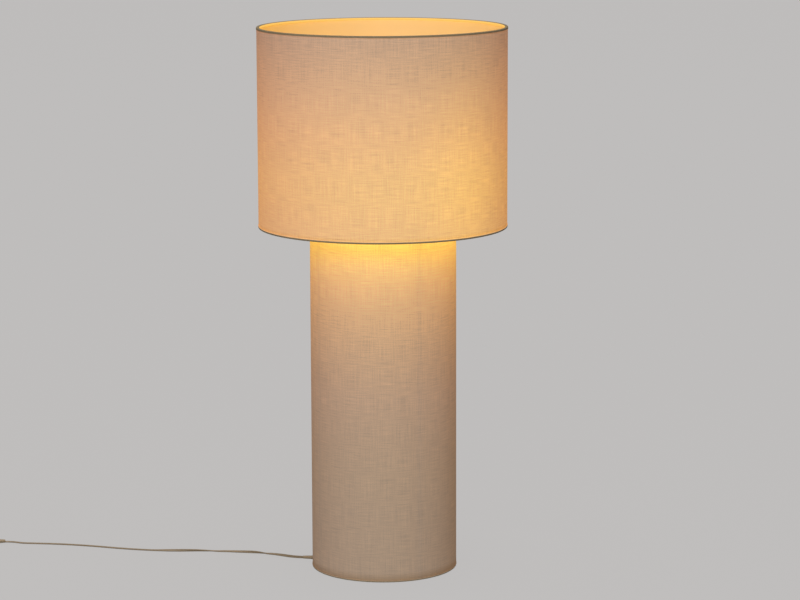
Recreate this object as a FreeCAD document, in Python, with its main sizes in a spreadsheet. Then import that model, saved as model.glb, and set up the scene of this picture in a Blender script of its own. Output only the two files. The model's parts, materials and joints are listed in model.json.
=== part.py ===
import FreeCAD, Part
import math
import os
import re
import Sketcher

# Column floor lamp: a drum shade over a fabric column that stands on a steel base plate.
# Millimetres. The origin is on the floor, on the lamp's axis. +Z is up, -Y is the front.

Vector = FreeCAD.Vector
Placement = FreeCAD.Placement
Rotation = FreeCAD.Rotation

document = FreeCAD.newDocument("column_floor_lamp")

# ---------------------------------------------------------------- driving dimensions
# Each row: name, value, what it is.

SIZES = [
    ("lamp_height", 1100.0, "floor to the top of the shade"),
    ("shade_diameter", 500.0, "drum shade, across its trims"),
    ("shade_height", 400.0, "drum shade, top trim to bottom trim"),
    ("column_diameter", 295.0, "column, across its trims"),
    ("column_drop", 10.0, "column top below the shade's bottom edge"),
    ("hem_gap", 1.5, "column hem above the floor"),
    ("fabric_thickness", 0.5, "woven cover"),
    ("liner_thickness", 0.5, "plastic sheet that the cover is laminated to"),
    ("lamination_gap", 0.1, "glue line between cover and liner"),
    ("seat_gap", 0.05, "between a wire and what it is rolled or welded into"),
    ("shade_wire", 4.0, "diameter of the shade's ring wire"),
    ("shade_trim_height", 4.6, "visible height of the shade's rolled edge"),
    ("shade_trim_wall", 0.6, "cloth rolled over the shade's ring"),
    ("column_wire", 2.8, "diameter of the column's ring wire"),
    ("column_trim_height", 3.0, "visible height of the column's rolled edge"),
    ("column_trim_wall", 0.5, "cloth rolled over the column's ring"),
    ("trim_round", 0.35, "small bevel of a rolled edge"),
    ("frame_angle", 29.0, "turn of the first upright about the axis"),
    ("arm_count", 4, "uprights, spider arms and fitter arms"),
    ("upright_wire", 3.0, "diameter of the column's uprights"),
    ("arm_wire", 3.2, "diameter of spider and fitter arms"),
    ("fitter_bore", 41.0, "hole of the shade's fitter ring"),
    ("fitter_width", 56.0, "outside of the shade's fitter ring"),
    ("fitter_thickness", 2.0, "sheet of the fitter ring"),
    ("pad_diameter", 22.0, "foot pad"),
    ("pad_height", 2.0, "foot pad"),
    ("pad_inset", 22.0, "centre of a foot pad from the plate's edge"),
    ("pad_count", 4, "foot pads"),
    ("plate_inset", 7.5, "edge of the base plate from the column's outside"),
    ("plate_thickness", 4.0, "base plate"),
    ("weight_diameter", 190.0, "cast weight on the base plate"),
    ("weight_thickness", 12.0, "cast weight"),
    ("weight_bevel", 2.0, "bevel round the top of the weight"),
    ("channel_radius", 5.0, "lead channel under the weight"),
    ("channel_drop", 1.0, "axis of the channel below the lead"),
    ("flange_diameter", 80.0, "flange at the stem's foot"),
    ("flange_thickness", 4.0, "flange"),
    ("bolt_circle", 56.0, "pitch circle of the base bolts"),
    ("bolt_count", 3, "base bolts"),
    ("bolt_diameter", 5.0, "base bolt shank"),
    ("bolt_head", 9.4, "countersunk head"),
    ("bolt_head_height", 2.4, "countersunk head"),
    ("bolt_clearance", 0.25, "radial gap of a bolt in its hole"),
    ("nut_width", 8.0, "base nut, across its flats"),
    ("nut_height", 4.0, "base nut"),
    ("thread_end", 2.0, "bolt end past its nut"),
    ("stem_diameter", 25.0, "stem tube"),
    ("stem_wall", 1.5, "stem tube"),
    ("stem_cap_height", 12.0, "turned plug in the stem's top"),
    ("stem_cap_lip", 3.0, "lip of the plug over the tube"),
    ("stem_cap_rim", 1.0, "lip of the plug past the tube's outside"),
    ("nipple_diameter", 10.0, "hollow threaded rod"),
    ("nipple_bore", 7.0, "lead way through the threaded rod"),
    ("nipple_length", 34.0, "hollow threaded rod"),
    ("thread_gap", 0.05, "radial gap between threaded pieces"),
    ("washer_diameter", 34.0, "centre washer of the column's spider"),
    ("washer_thickness", 1.5, "centre washer"),
    ("hex_width", 15.0, "nipple nut, across its flats"),
    ("hex_height", 4.0, "nipple nut"),
    ("holder_diameter", 43.0, "lampholder cap"),
    ("holder_cap_height", 28.0, "lampholder cap"),
    ("holder_straight", 12.5, "straight part at the top of the cap"),
    ("holder_boss", 18.0, "boss at the foot of the cap"),
    ("holder_boss_height", 6.0, "boss at the foot of the cap"),
    ("holder_wall", 2.0, "moulded wall"),
    ("skirt_diameter", 39.6, "threaded skirt, over its thread"),
    ("skirt_height", 28.0, "threaded skirt above the cap"),
    ("skirt_spigot", 6.0, "part of the skirt inside the cap"),
    ("thread_pitch", 3.0, "pitch of the skirt's outer thread"),
    ("thread_depth", 0.8, "depth of the skirt's outer thread"),
    ("thread_flank", 0.35, "rising flank of a thread ridge, share of its pitch"),
    ("thread_crest", 0.25, "flat crest of a thread ridge, share of its pitch"),
    ("ring_diameter", 56.0, "shade ring, across its grips"),
    ("ring_height", 7.0, "shade ring"),
    ("ring_bevel", 1.0, "bevelled edges of a shade ring"),
    ("ring_clearance", 0.25, "radial gap of a shade ring on the thread"),
    ("grip_radius", 1.6, "finger groove in a shade ring"),
    ("grip_count", 16, "finger grooves in a shade ring"),
    ("ring_seat", 0.1, "gap between a shade ring and the fitter"),
    ("insert_diameter", 33.0, "ceramic contact block"),
    ("insert_height", 9.5, "ceramic contact block"),
    ("cap_diameter", 26.2, "lamp cap, over its thread"),
    ("cap_height", 25.0, "lamp cap"),
    ("cap_pitch", 3.6, "pitch of the lamp cap's thread"),
    ("cap_thread_depth", 0.7, "depth of the lamp cap's thread"),
    ("cap_clearance", 0.4, "radial gap of the lamp cap in the skirt"),
    ("contact_strip", 1.2, "sprung brass strip of the lampholder"),
    ("strip_length", 14.0, "sprung brass strip of the lampholder"),
    ("strip_width", 4.8, "sprung brass strip of the lampholder"),
    ("insulator_height", 5.0, "black glass under the lamp cap"),
    ("bulb_diameter", 60.0, "bulb"),
    ("bulb_height", 82.0, "glass above the lamp cap"),
    ("bulb_neck", 23.0, "glass where it enters the cap"),
    ("bulb_wall", 0.9, "glass"),
    ("glass_in_cap", 4.0, "glass neck held in the lamp cap"),
    ("cap_wall", 0.4, "lamp cap metal"),
    ("tip_diameter", 9.0, "end contact of the bulb"),
    ("tip_flat", 5.4, "flat of the end contact"),
    ("tip_height", 0.8, "end contact of the bulb"),
    ("mount_diameter", 6.0, "glass mount inside the bulb"),
    ("mount_foot_height", 2.0, "wide foot of the glass mount"),
    ("mount_cone_height", 4.0, "cone above the foot of the glass mount"),
    ("filament_diameter", 1.6, "light-emitting rod"),
    ("filament_length", 34.0, "light-emitting rod"),
    ("filament_count", 4, "light-emitting rods"),
    ("lead_diameter", 5.4, "flat twin lead, across its width"),
    ("lead_height", 10.0, "lead above the floor where it leaves"),
    ("lead_angle", 173.0, "direction in which the lead leaves"),
    ("lead_bend", 15.0, "bend of the inner lead into the stem"),
    ("relief_length", 20.0, "strain relief outside the column"),
    ("relief_root", 7.4, "strain relief at its root"),
    ("relief_tip", 6.0, "strain relief at its tip"),
    ("grommet_flange", 9.0, "grommet flange outside the column"),
    ("grommet_flange_wall", 1.2, "grommet flange"),
    ("grommet_neck", 7.2, "grommet in the column's wall"),
    ("grommet_lip", 8.6, "retaining lip inside the column"),
    ("grommet_lip_wall", 1.8, "retaining lip inside the column"),
    ("grommet_clearance", 0.15, "radial gap of the grommet in its hole"),
    ("foot_wire", 3.0, "wire that ties an upright to the plate"),
    ("foot_wire_lift", 0.6, "foot wire above the plate"),
    ("foot_wire_root", 1.0, "foot wire inside its eyelet"),
    ("foot_inset", 22.5, "foot screw's centre from the column's outside"),
    ("eyelet_diameter", 11.0, "eyelet under a foot screw"),
    ("eyelet_thickness", 1.5, "eyelet under a foot screw"),
    ("screw_diameter", 4.0, "foot screw"),
    ("screw_head", 7.6, "foot screw head"),
    ("screw_head_height", 2.6, "foot screw head"),
    ("screw_head_band", 1.6, "straight band of a foot screw's head"),
    ("screw_head_flat", 5.4, "flat top of a foot screw's head"),
    ("screw_short", 0.5, "screw tips above the plate's underside"),
    ("clip_inset", 26.0, "lead clip's centre from the plate's edge"),
    ("clip_width", 10.0, "lead clip, along the lead"),
    ("clip_span", 34.0, "lead clip, across both feet"),
    ("clip_thickness", 1.2, "lead clip"),
    ("clip_screw_span", 24.0, "between the clip's two screws"),
    ("clip_screw", 3.0, "clip screw"),
    ("clip_screw_head", 5.6, "clip screw head"),
    ("clip_screw_head_height", 1.8, "clip screw head"),
    ("core_diameter", 1.8, "one insulated core of the lead"),
    ("switch_away", 684.6, "centre of the foot switch from the relief tip, along -X"),
    ("switch_aside", 156.4, "centre of the foot switch from the relief tip, along +Y"),
    ("switch_length", 72.0, "foot switch housing"),
    ("switch_width", 38.0, "foot switch housing"),
    ("switch_height", 20.0, "foot switch housing"),
    ("switch_base_height", 6.5, "foot switch base tray"),
    ("switch_wall", 2.0, "foot switch shells"),
    ("switch_round", 4.0, "rounded top edge of the cover"),
    ("switch_lead_height", 6.0, "lead at the foot switch"),
    ("switch_relief_length", 16.0, "strain relief at the foot switch"),
    ("switch_relief_root", 8.8, "strain relief at the housing"),
    ("switch_relief_tip", 6.4, "strain relief at its tip"),
    ("switch_relief_neck", 6.4, "neck of the strain relief in the housing's wall"),
    ("switch_relief_lip", 7.8, "lip of the strain relief inside the housing"),
    ("switch_relief_lip_wall", 1.5, "lip of the strain relief inside the housing"),
    ("button_diameter", 26.0, "foot switch button"),
    ("button_gap", 0.5, "radial gap round the button"),
    ("button_stand", 2.5, "button above the cover when it is pressed"),
    ("button_flange", 1.5, "width of the button's retaining flange"),
    ("button_flange_height", 2.0, "button's retaining flange"),
    ("button_wall", 4.5, "top of the button"),
    ("button_bevel", 1.5, "bevel round the button's top"),
    ("button_bore", 16.0, "spring seat in the button"),
    ("button_travel", 3.0, "press of the button"),
    ("spring_diameter", 12.0, "switch spring, wire centre to wire centre"),
    ("spring_wire", 1.0, "switch spring wire"),
    ("spring_turns", 5, "switch spring"),
    ("spring_gap", 0.3, "switch spring to its seats"),
    ("contact_length", 30.0, "switch contact block"),
    ("contact_width", 20.0, "switch contact block"),
    ("contact_height", 4.5, "switch contact block"),
    ("case_screw_span", 48.0, "between the case screws, along the switch"),
    ("case_screw_spread", 22.0, "between the case screws, across the switch"),
    ("case_screw", 3.0, "case screw"),
    ("case_screw_head", 5.4, "case screw head"),
    ("case_screw_head_height", 2.0, "case screw head"),
    ("case_screw_length", 13.0, "case screw shank"),
    ("case_screw_depth", 3.0, "sunk part of the base under a case screw"),
    ("case_post", 6.6, "moulded post round a case screw"),
    ("coil_away", 753.1, "centre of the wound lead from the relief tip, along -X"),
    ("coil_aside", 104.0, "centre of the wound lead from the relief tip, along +Y"),
    ("coil_radius", 38.0, "outer turn of the wound lead"),
    ("coil_gap", 0.7, "between neighbouring turns and layers of the wound lead"),
    ("coil_turns", 5.25, "turns of the wound lead, half in each layer"),
    ("tie_angle", 225.0, "place of the band round the wound lead"),
    ("tie_width", 7.0, "band round the wound lead"),
    ("tie_thickness", 0.5, "band round the wound lead"),
    ("tie_gap", 0.25, "band to lead"),
    ("tie_slack", 0.6, "band to lead on the inner side"),
    ("plug_away", 702.6, "end of the plug's strain relief from the relief tip, along -X"),
    ("plug_aside", 68.0, "plug from the relief tip, along +Y"),
    ("plug_width", 35.3, "flat plug"),
    ("plug_thickness", 13.7, "flat plug"),
    ("plug_front", 12.0, "straight front part of the plug"),
    ("plug_taper", 22.0, "tapered back part of the plug"),
    ("plug_back_width", 14.0, "back of the taper"),
    ("plug_back_thickness", 10.0, "back of the taper"),
    ("plug_corner", 4.5, "cut corner of the plug's face"),
    ("plug_relief_length", 14.0, "strain relief at the plug"),
    ("plug_relief_root", 8.4, "strain relief at the plug"),
    ("plug_relief_tip", 6.4, "strain relief at its tip"),
    ("pin_diameter", 4.0, "plug pin"),
    ("pin_length", 19.0, "plug pin"),
    ("pin_root", 8.0, "plug pin inside the plug"),
    ("pin_bevel", 1.0, "rounded end of a plug pin"),
    ("pin_spacing", 18.6, "between the pins' centres"),
    ("past", 1.0, "cutting shapes reach this far past a face"),
]

# ---------------------------------------------------------------- places worked out from them

PLACES = [
    ("shade_radius", "shade_diameter / 2"),
    ("shade_bottom", "lamp_height - shade_height"),
    ("column_radius", "column_diameter / 2"),
    ("column_top", "shade_bottom - column_drop"),
    ("shade_cover", "shade_radius - shade_trim_wall - seat_gap"),
    ("shade_lining", "shade_cover - fabric_thickness - lamination_gap"),
    ("shade_inside", "shade_lining - liner_thickness"),
    ("shade_ring_radius", "shade_inside - seat_gap - shade_wire / 2"),
    ("shade_ring_low", "shade_bottom + shade_trim_wall + seat_gap + shade_wire / 2"),
    ("shade_ring_high", "lamp_height - shade_trim_wall - seat_gap - shade_wire / 2"),
    ("column_cover", "column_radius - column_trim_wall - seat_gap"),
    ("column_lining", "column_cover - fabric_thickness - lamination_gap"),
    ("column_inside", "column_lining - liner_thickness"),
    ("column_ring_radius", "column_inside - seat_gap - column_wire / 2"),
    ("upright_circle", "column_inside - seat_gap - upright_wire / 2"),
    ("column_ring_low", "hem_gap + column_trim_wall + seat_gap + column_wire / 2"),
    ("column_ring_high", "column_top - column_trim_wall - seat_gap - column_wire / 2"),
    ("plate_diameter", "column_diameter - 2 * plate_inset"),
    ("pad_circle", "plate_diameter - 2 * pad_inset"),
    ("clip_circle", "plate_diameter - 2 * clip_inset"),
    ("foot_circle", "column_diameter - 2 * foot_inset"),
    ("plate_bottom", "pad_height"),
    ("plate_top", "plate_bottom + plate_thickness"),
    ("weight_top", "plate_top + weight_thickness"),
    ("flange_top", "weight_top + flange_thickness"),
    ("stem_bore", "stem_diameter / 2 - stem_wall"),
    ("fitter_bottom", "shade_ring_low - fitter_thickness / 2"),
    ("fitter_top", "shade_ring_low + fitter_thickness / 2"),
    ("low_ring_bottom", "fitter_bottom - ring_seat - ring_height"),
    ("skirt_bottom", "low_ring_bottom - ring_seat"),
    ("skirt_top", "skirt_bottom + skirt_height"),
    ("holder_bottom", "skirt_bottom - holder_cap_height"),
    ("hex_bottom", "holder_bottom - seat_gap - hex_height"),
    ("washer_bottom", "hex_bottom - seat_gap - washer_thickness"),
    ("stem_top", "washer_bottom - seat_gap - stem_cap_lip"),
    ("nipple_bottom", "stem_top - stem_cap_height"),
    ("nipple_top", "nipple_bottom + nipple_length"),
    ("holder_shoulder", "skirt_bottom - ring_seat - holder_straight"),
    ("insert_top", "skirt_bottom - ring_seat"),
    ("insert_bottom", "insert_top - insert_height"),
    ("tip_bottom", "insert_top + contact_strip + seat_gap"),
    ("cap_bottom", "tip_bottom + insulator_height"),
    ("cap_top", "cap_bottom + cap_height"),
    ("bulb_centre", "cap_top + bulb_height - bulb_diameter / 2"),
    ("mount_foot", "cap_top - glass_in_cap"),
    ("filament_foot", "mount_foot + mount_foot_height + mount_cone_height"),
    ("arm_inner", "washer_diameter / 2"),
    ("spider_low", "washer_bottom + washer_thickness / 2"),
    ("spider_run", "column_ring_radius - column_wire / 2 - seat_gap - arm_inner"),
    ("spider_rise", "column_ring_high - spider_low"),
    ("spider_slope", "atan2(spider_rise; spider_run)"),
    ("foot_wire_height", "plate_top + foot_wire_lift + foot_wire / 2"),
    ("grommet_outer", "column_cover + seat_gap + grommet_flange_wall"),
    ("relief_end", "grommet_outer + relief_length"),
    ("tip_x", "relief_end * cos(lead_angle)"),
    ("tip_y", "relief_end * sin(lead_angle)"),
    ("lip_outer", "column_inside - grommet_clearance"),
    ("lip_inner", "lip_outer - grommet_lip_wall"),
    ("clip_turn", "atan(clip_screw_span / clip_circle) / 1 deg"),
    ("clip_screw_circle", "sqrt(clip_screw_span^2 + clip_circle^2)"),
    ("coil_pitch", "lead_diameter + coil_gap"),
    ("coil_height", "lead_diameter / 2 + tie_gap + tie_thickness + seat_gap"),
    ("coil_inner", "coil_radius - (coil_turns / 2 - 0.25) * coil_pitch"),
    ("tie_outer_turn", "coil_radius - (tie_angle - 180) / 360 * coil_pitch"),
    ("tie_turns", "floor(coil_turns / 2 - 0.25 - (tie_angle - 180) / 360)"),
    ("tie_low", "tie_outer_turn - tie_turns * coil_pitch - lead_diameter / 2 - tie_slack"),
    ("tie_high", "tie_outer_turn + lead_diameter / 2 + tie_gap"),
    ("switch_x", "tip_x - switch_away"),
    ("switch_y", "tip_y + switch_aside"),
    ("coil_x", "tip_x - coil_away"),
    ("coil_y", "tip_y + coil_aside"),
    ("plug_x", "tip_x - plug_away"),
    ("plug_y", "tip_y + plug_aside"),
    ("button_bottom", "switch_height - switch_wall - button_flange_height"),
    ("button_top", "switch_height + button_stand + button_travel"),
    ("plug_height", "plug_thickness / 2"),
]

KNOWN = {}


def bound(formula):
    """The formula with each name written as its cell in one of the two sheets."""
    return re.sub(r"[a-z_]\w*", lambda word: KNOWN.get(word.group(), word.group()), str(formula))


def filled_sheet(label, rows):
    """A sheet with one named cell per row."""
    sheet = document.addObject("Spreadsheet::Sheet", label)
    for row, (name, content, meaning) in enumerate(rows, start=1):
        sheet.set(f"A{row}", meaning)
        sheet.set(f"B{row}", content)
        sheet.setAlias(f"B{row}", name)
        KNOWN[name] = f"{label}.{name}"
    return sheet


sizes = filled_sheet("Sizes", [(name, str(value), meaning) for name, value, meaning in SIZES])
for name, formula in PLACES:
    KNOWN[name] = f"Places.{name}"
places = filled_sheet("Places", [(name, "=" + bound(formula), "worked out from the sizes")
                                 for name, formula in PLACES])
document.recompute()


def size(formula):
    """A formula's value in millimetres or degrees."""
    return float(places.evalExpression(bound(formula)))


# ---------------------------------------------------------------- helpers

SUB_PARTS = []


def kept(feature, label):
    """Marks a finished sub-part: its label names its file."""
    feature.Label = label
    SUB_PARTS.append(feature)
    return feature


def origin_feature(body, role):
    """One of a body's own origin planes or axes."""
    return [item for item in body.Origin.OriginFeatures if item.Role == role][0]


def outline_sketch(body, name, outline, angle="0", axis=None):
    """A closed outline of (radius, height) formulas in the upright plane at the given angle.

    axis, two more such points, adds the line that the outline turns about.
    """
    sketch = body.newObject("Sketcher::SketchObject", name)
    sketch.AttachmentSupport = (origin_feature(body, "XZ_Plane"), [""])
    sketch.MapMode = "FlatFace"
    sketch.AttachmentOffset = Placement(Vector(), Rotation(Vector(0, 1, 0), size(angle)))
    if angle != "0":
        sketch.setExpression("AttachmentOffset.Rotation.Angle", bound(angle))
    corners = [Vector(size(across), size(up), 0) for across, up in outline]
    for first, second in zip(corners, corners[1:] + corners[:1]):
        sketch.addGeometry(Part.LineSegment(first, second), False)
    count = len(outline)
    for side in range(count):
        sketch.addConstraint(Sketcher.Constraint("Coincident", side, 2, (side + 1) % count, 1))
    for side, point in enumerate(outline):
        place_point(sketch, side, 1, point)
    if axis:
        start, end = [Vector(size(across), size(up), 0) for across, up in axis]
        line = sketch.addGeometry(Part.LineSegment(start, end), True)
        place_point(sketch, line, 1, axis[0])
        place_point(sketch, line, 2, axis[1])
    return sketch


def place_point(sketch, element, end, point):
    """Ties one end of a sketch line to its radius and height formulas."""
    for kind, on_axis, formula in (("DistanceX", -2, point[0]), ("DistanceY", -1, point[1])):
        if formula == "0":
            sketch.addConstraint(Sketcher.Constraint("PointOnObject", element, end, on_axis))
            continue
        constraint = Sketcher.Constraint(kind, -1, 1, element, end, size(formula))
        index = sketch.addConstraint(constraint)
        sketch.setExpression(f"Constraints[{index}]", bound(formula))


def spun(body, name, outline, angle="0", axis=None, cut=False):
    """Turns an outline about the lamp's axis, or about the outline's own axis."""
    sketch = outline_sketch(body, name + "_outline", outline, angle, axis)
    kind = "PartDesign::Groove" if cut else "PartDesign::Revolution"
    feature = body.newObject(kind, name)
    feature.Profile = sketch
    feature.ReferenceAxis = (sketch, ["Axis0"] if axis else ["V_Axis"])
    feature.Angle = 360
    return feature


def repeated(body, feature, count):
    """Repeats a feature round the lamp's axis, evenly."""
    pattern = body.newObject("PartDesign::PolarPattern", feature.Name + "_set")
    pattern.Originals = [feature]
    pattern.Axis = (origin_feature(body, "Z_Axis"), [""])
    pattern.Angle = 360
    pattern.Occurrences = int(size(count))
    pattern.setExpression("Occurrences", bound(count))
    body.Tip = pattern
    return pattern


def turned_body(name, outline, angle="0", axis=None, count=None):
    """A solid, or a set of them round the lamp's axis, turned from one outline."""
    body = document.addObject("PartDesign::Body", name)
    feature = spun(body, name + "_turned", outline, angle, axis)
    if count:
        repeated(body, feature, count)
    return body


def turned(label, outline, **where):
    """A turned sub-part."""
    return kept(turned_body(label, outline, **where), label)


def drilled(body, name, outline, angle="0", axis=None, count=None):
    """Cuts a turned hole, or a ring of them, and makes sure that it removed something."""
    document.recompute()
    before = body.Shape.Volume
    feature = spun(body, name, outline, angle, axis, cut=True)
    body.Tip = feature
    if count:
        repeated(body, feature, count)
    document.recompute()
    if body.Shape.Volume >= before:
        raise ValueError(f"{name} cut nothing out of {body.Label}")


def block(inner, outer, low, high):
    """A rectangle from an inner to an outer radius."""
    return [(inner, low), (outer, low), (outer, high), (inner, high)]


def rod(angle, start, end, radius, slope="0"):
    """Outline and axis of a straight round rod from one point to another in a plane."""
    lift = (f"- {radius} * sin({slope})", f"+ {radius} * cos({slope})")
    far = (f"{end[0]} {lift[0]}", f"{end[1]} {lift[1]}")
    near = (f"{start[0]} {lift[0]}", f"{start[1]} {lift[1]}")
    return {"outline": [start, end, far, near], "angle": angle, "axis": [start, end]}


def hole(centre, radius, low, high):
    """Outline and axis of an upright hole or stud at a radius from the lamp's axis."""
    outline = [(centre, low), (f"{centre} + {radius}", low), (f"{centre} + {radius}", high), (centre, high)]
    return {"outline": outline, "axis": [(centre, low), (centre, high)]}


def primitive(kind, name, **values):
    """A Part primitive with each property tied to its formula; x, y and z place it."""
    feature = document.addObject("Part::" + kind, name)
    for key, formula in values.items():
        target = f"Placement.Base.{key}" if key in "xyz" else key
        if key not in "xyz":
            setattr(feature, key, size(formula))
        feature.setExpression(target, bound(formula))
    return feature


def joined(name, shapes):
    """The union of several shapes."""
    union = document.addObject("Part::MultiFuse", name)
    union.Shapes = shapes
    union.Refine = True
    return union


def cut(name, base, tool):
    """base without tool."""
    result = document.addObject("Part::Cut", name)
    result.Base = base
    result.Tool = tool
    return result


def group(label, members):
    """Identical pieces that share one node."""
    compound = document.addObject("Part::Compound", label)
    compound.Links = members
    return kept(compound, label)


# ---------------------------------------------------------------- shade and column skins

def wall(label, radius, thickness, low, high):
    """A thin upright cylinder from its outer radius inwards."""
    return turned(label, block(f"{radius} - {thickness}", radius, low, high))


def rolled_edge(label, radius, edge, up, height, cloth, wire, inside):
    """Cloth rolled round the wire ring at an edge: outer leg, turn and inner leg.

    up is + for an edge that faces down and - for one that faces up.
    """
    outer, inner = radius, f"{inside} - {wire} - 2 * seat_gap - {cloth}"
    back = f"{edge} {up} ({cloth} + {wire} + 2 * seat_gap)"
    return turned(label, [
        (f"{outer} - trim_round", edge),
        (outer, f"{edge} {up} trim_round"),
        (outer, f"{edge} {up} {height}"),
        (f"{outer} - {cloth}", f"{edge} {up} {height}"),
        (f"{outer} - {cloth}", f"{edge} {up} {cloth}"),
        (f"{inner} + {cloth}", f"{edge} {up} {cloth}"),
        (f"{inner} + {cloth}", back),
        (inner, back),
        (inner, f"{edge} {up} trim_round"),
        (f"{inner} + trim_round", edge),
    ])


def wire_ring(label, radius, height, wire):
    """A closed ring of round wire."""
    ring = primitive("Torus", label, Radius1=radius, Radius2=f"{wire} / 2", z=height)
    return kept(ring, label)


wall("shade_fabric", "shade_cover", "fabric_thickness",
     "shade_bottom + shade_trim_wall + seat_gap", "lamp_height - shade_trim_wall - seat_gap")
wall("shade_liner", "shade_lining", "liner_thickness",
     "shade_bottom + shade_trim_wall + seat_gap", "lamp_height - shade_trim_wall - seat_gap")
rolled_edge("shade_top_trim", "shade_radius", "lamp_height", "-",
            "shade_trim_height", "shade_trim_wall", "shade_wire", "shade_inside")
shade_bottom_trim = rolled_edge(
    "shade_bottom_trim", "shade_radius", "shade_bottom", "+",
    "shade_trim_height", "shade_trim_wall", "shade_wire", "shade_inside")
wire_ring("shade_top_ring", "shade_ring_radius", "shade_ring_high", "shade_wire")
wire_ring("shade_bottom_ring", "shade_ring_radius", "shade_ring_low", "shade_wire")

column_wall = {"low": "hem_gap + column_trim_wall + seat_gap",
               "high": "column_top - column_trim_wall - seat_gap"}
column_fabric = wall("column_fabric", "column_cover", "fabric_thickness", **column_wall)
column_liner = wall("column_liner", "column_lining", "liner_thickness", **column_wall)
column_top_trim = rolled_edge(
    "column_top_trim", "column_radius", "column_top", "-",
    "column_trim_height", "column_trim_wall", "column_wire", "column_inside")
rolled_edge("column_hem_trim", "column_radius", "hem_gap", "+",
            "column_trim_height", "column_trim_wall", "column_wire", "column_inside")
wire_ring("column_top_ring", "column_ring_radius", "column_ring_high", "column_wire")
wire_ring("column_bottom_ring", "column_ring_radius", "column_ring_low", "column_wire")

# The hole that the lead's grommet snaps into.
for skin in (column_fabric, column_liner):
    drilled(skin, skin.Label + "_hole", angle="lead_angle",
            axis=[("column_inside - past", "lead_height"), ("column_radius + past", "lead_height")],
            outline=block("column_inside - past", "column_radius + past", "lead_height",
                          "lead_height + grommet_neck / 2 + grommet_clearance"))

# ---------------------------------------------------------------- wire frame of the column

turned("column_uprights", count="arm_count", angle="frame_angle - 90", **hole(
    "upright_circle", "upright_wire / 2",
    "column_ring_low + column_wire / 2 + seat_gap",
    "column_ring_high - column_wire / 2 - seat_gap"))

turned("column_spider_arms", count="arm_count", **rod(
    "frame_angle - 90",
    ("arm_inner + seat_gap", "spider_low"),
    ("arm_inner + spider_run", "column_ring_high"),
    "arm_wire / 2", "spider_slope"))

# The cloth rolled round a ring is slit where an arm meets the wire.
drilled(column_top_trim, "column_top_slits", count="arm_count", **rod(
    "frame_angle - 90",
    ("arm_inner + spider_run / 2", "(spider_low + column_ring_high) / 2"),
    ("arm_inner + spider_run", "column_ring_high"),
    "(arm_wire / 2 + seat_gap)", "spider_slope"))

turned("column_spider_washer", block(
    "nipple_diameter / 2 + thread_gap", "arm_inner", "washer_bottom",
    "washer_bottom + washer_thickness"))

# Short wires with an eyelet tie the uprights to the base plate.
column_feet = document.addObject("PartDesign::Body", "column_feet")
eyelet_edges = ("foot_circle / 2 + screw_diameter / 2 + bolt_clearance",
                "foot_circle / 2 + eyelet_diameter / 2")
eyelet = spun(column_feet, "column_feet_eyelet", angle="frame_angle - 90",
              outline=block(*eyelet_edges, "plate_top", "plate_top + eyelet_thickness"),
              axis=[("foot_circle / 2", "plate_top"), ("foot_circle / 2", "weight_top")])
foot_rod = rod("frame_angle - 90",
               ("foot_circle / 2 + eyelet_diameter / 2 - foot_wire_root", "foot_wire_height"),
               ("upright_circle - upright_wire / 2 - seat_gap", "foot_wire_height"),
               "foot_wire / 2")
foot_wire_feature = spun(column_feet, "column_feet_wire", **foot_rod)
pattern = column_feet.newObject("PartDesign::PolarPattern", "column_feet_set")
pattern.Originals = [eyelet, foot_wire_feature]
pattern.Axis = (origin_feature(column_feet, "Z_Axis"), [""])
pattern.Angle = 360
pattern.Occurrences = int(size("arm_count"))
pattern.setExpression("Occurrences", bound("arm_count"))
column_feet.Tip = pattern
kept(column_feet, "column_feet")


# Pan-head screws: the head lies on the eyelet, the shank goes down into the plate.
screw_seat = "plate_top + eyelet_thickness"
turned("column_foot_screws", angle="frame_angle - 90", count="arm_count",
       axis=[("foot_circle / 2", "plate_bottom"), ("foot_circle / 2", "weight_top")], outline=[
           ("foot_circle / 2", "plate_bottom + screw_short"),
           ("foot_circle / 2 + screw_diameter / 2", "plate_bottom + screw_short"),
           ("foot_circle / 2 + screw_diameter / 2", screw_seat),
           ("foot_circle / 2 + screw_head / 2", screw_seat),
           ("foot_circle / 2 + screw_head / 2", f"{screw_seat} + screw_head_band"),
           ("foot_circle / 2 + screw_head_flat / 2", f"{screw_seat} + screw_head_height"),
           ("foot_circle / 2", f"{screw_seat} + screw_head_height")])

# ---------------------------------------------------------------- base

turned("foot_pads", count="pad_count", **hole("pad_circle / 2", "pad_diameter / 2", "0", "pad_height"))

base_plate = turned("base_plate", block("0", "plate_diameter / 2", "plate_bottom", "plate_top"))
drilled(base_plate, "column_screw_holes", angle="frame_angle - 90", count="arm_count", **hole(
    "foot_circle / 2", "screw_diameter / 2 + thread_gap", "plate_bottom - past", "plate_top + past"))

base_weight = turned("base_weight", [
    ("stem_bore", "plate_top"),
    ("weight_diameter / 2", "plate_top"),
    ("weight_diameter / 2", "weight_top - weight_bevel"),
    ("weight_diameter / 2 - weight_bevel", "weight_top"),
    ("stem_bore", "weight_top"),
])
channel_height, channel_end = "lead_height - channel_drop", "weight_diameter / 2 + past"
drilled(base_weight, "lead_channel", angle="lead_angle",
        axis=[("0", channel_height), (channel_end, channel_height)],
        outline=block("0", channel_end, channel_height, f"{channel_height} + channel_radius"))

stem_flange = turned("stem_flange", block(
    "stem_diameter / 2 + seat_gap", "flange_diameter / 2", "weight_top", "flange_top"))

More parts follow.
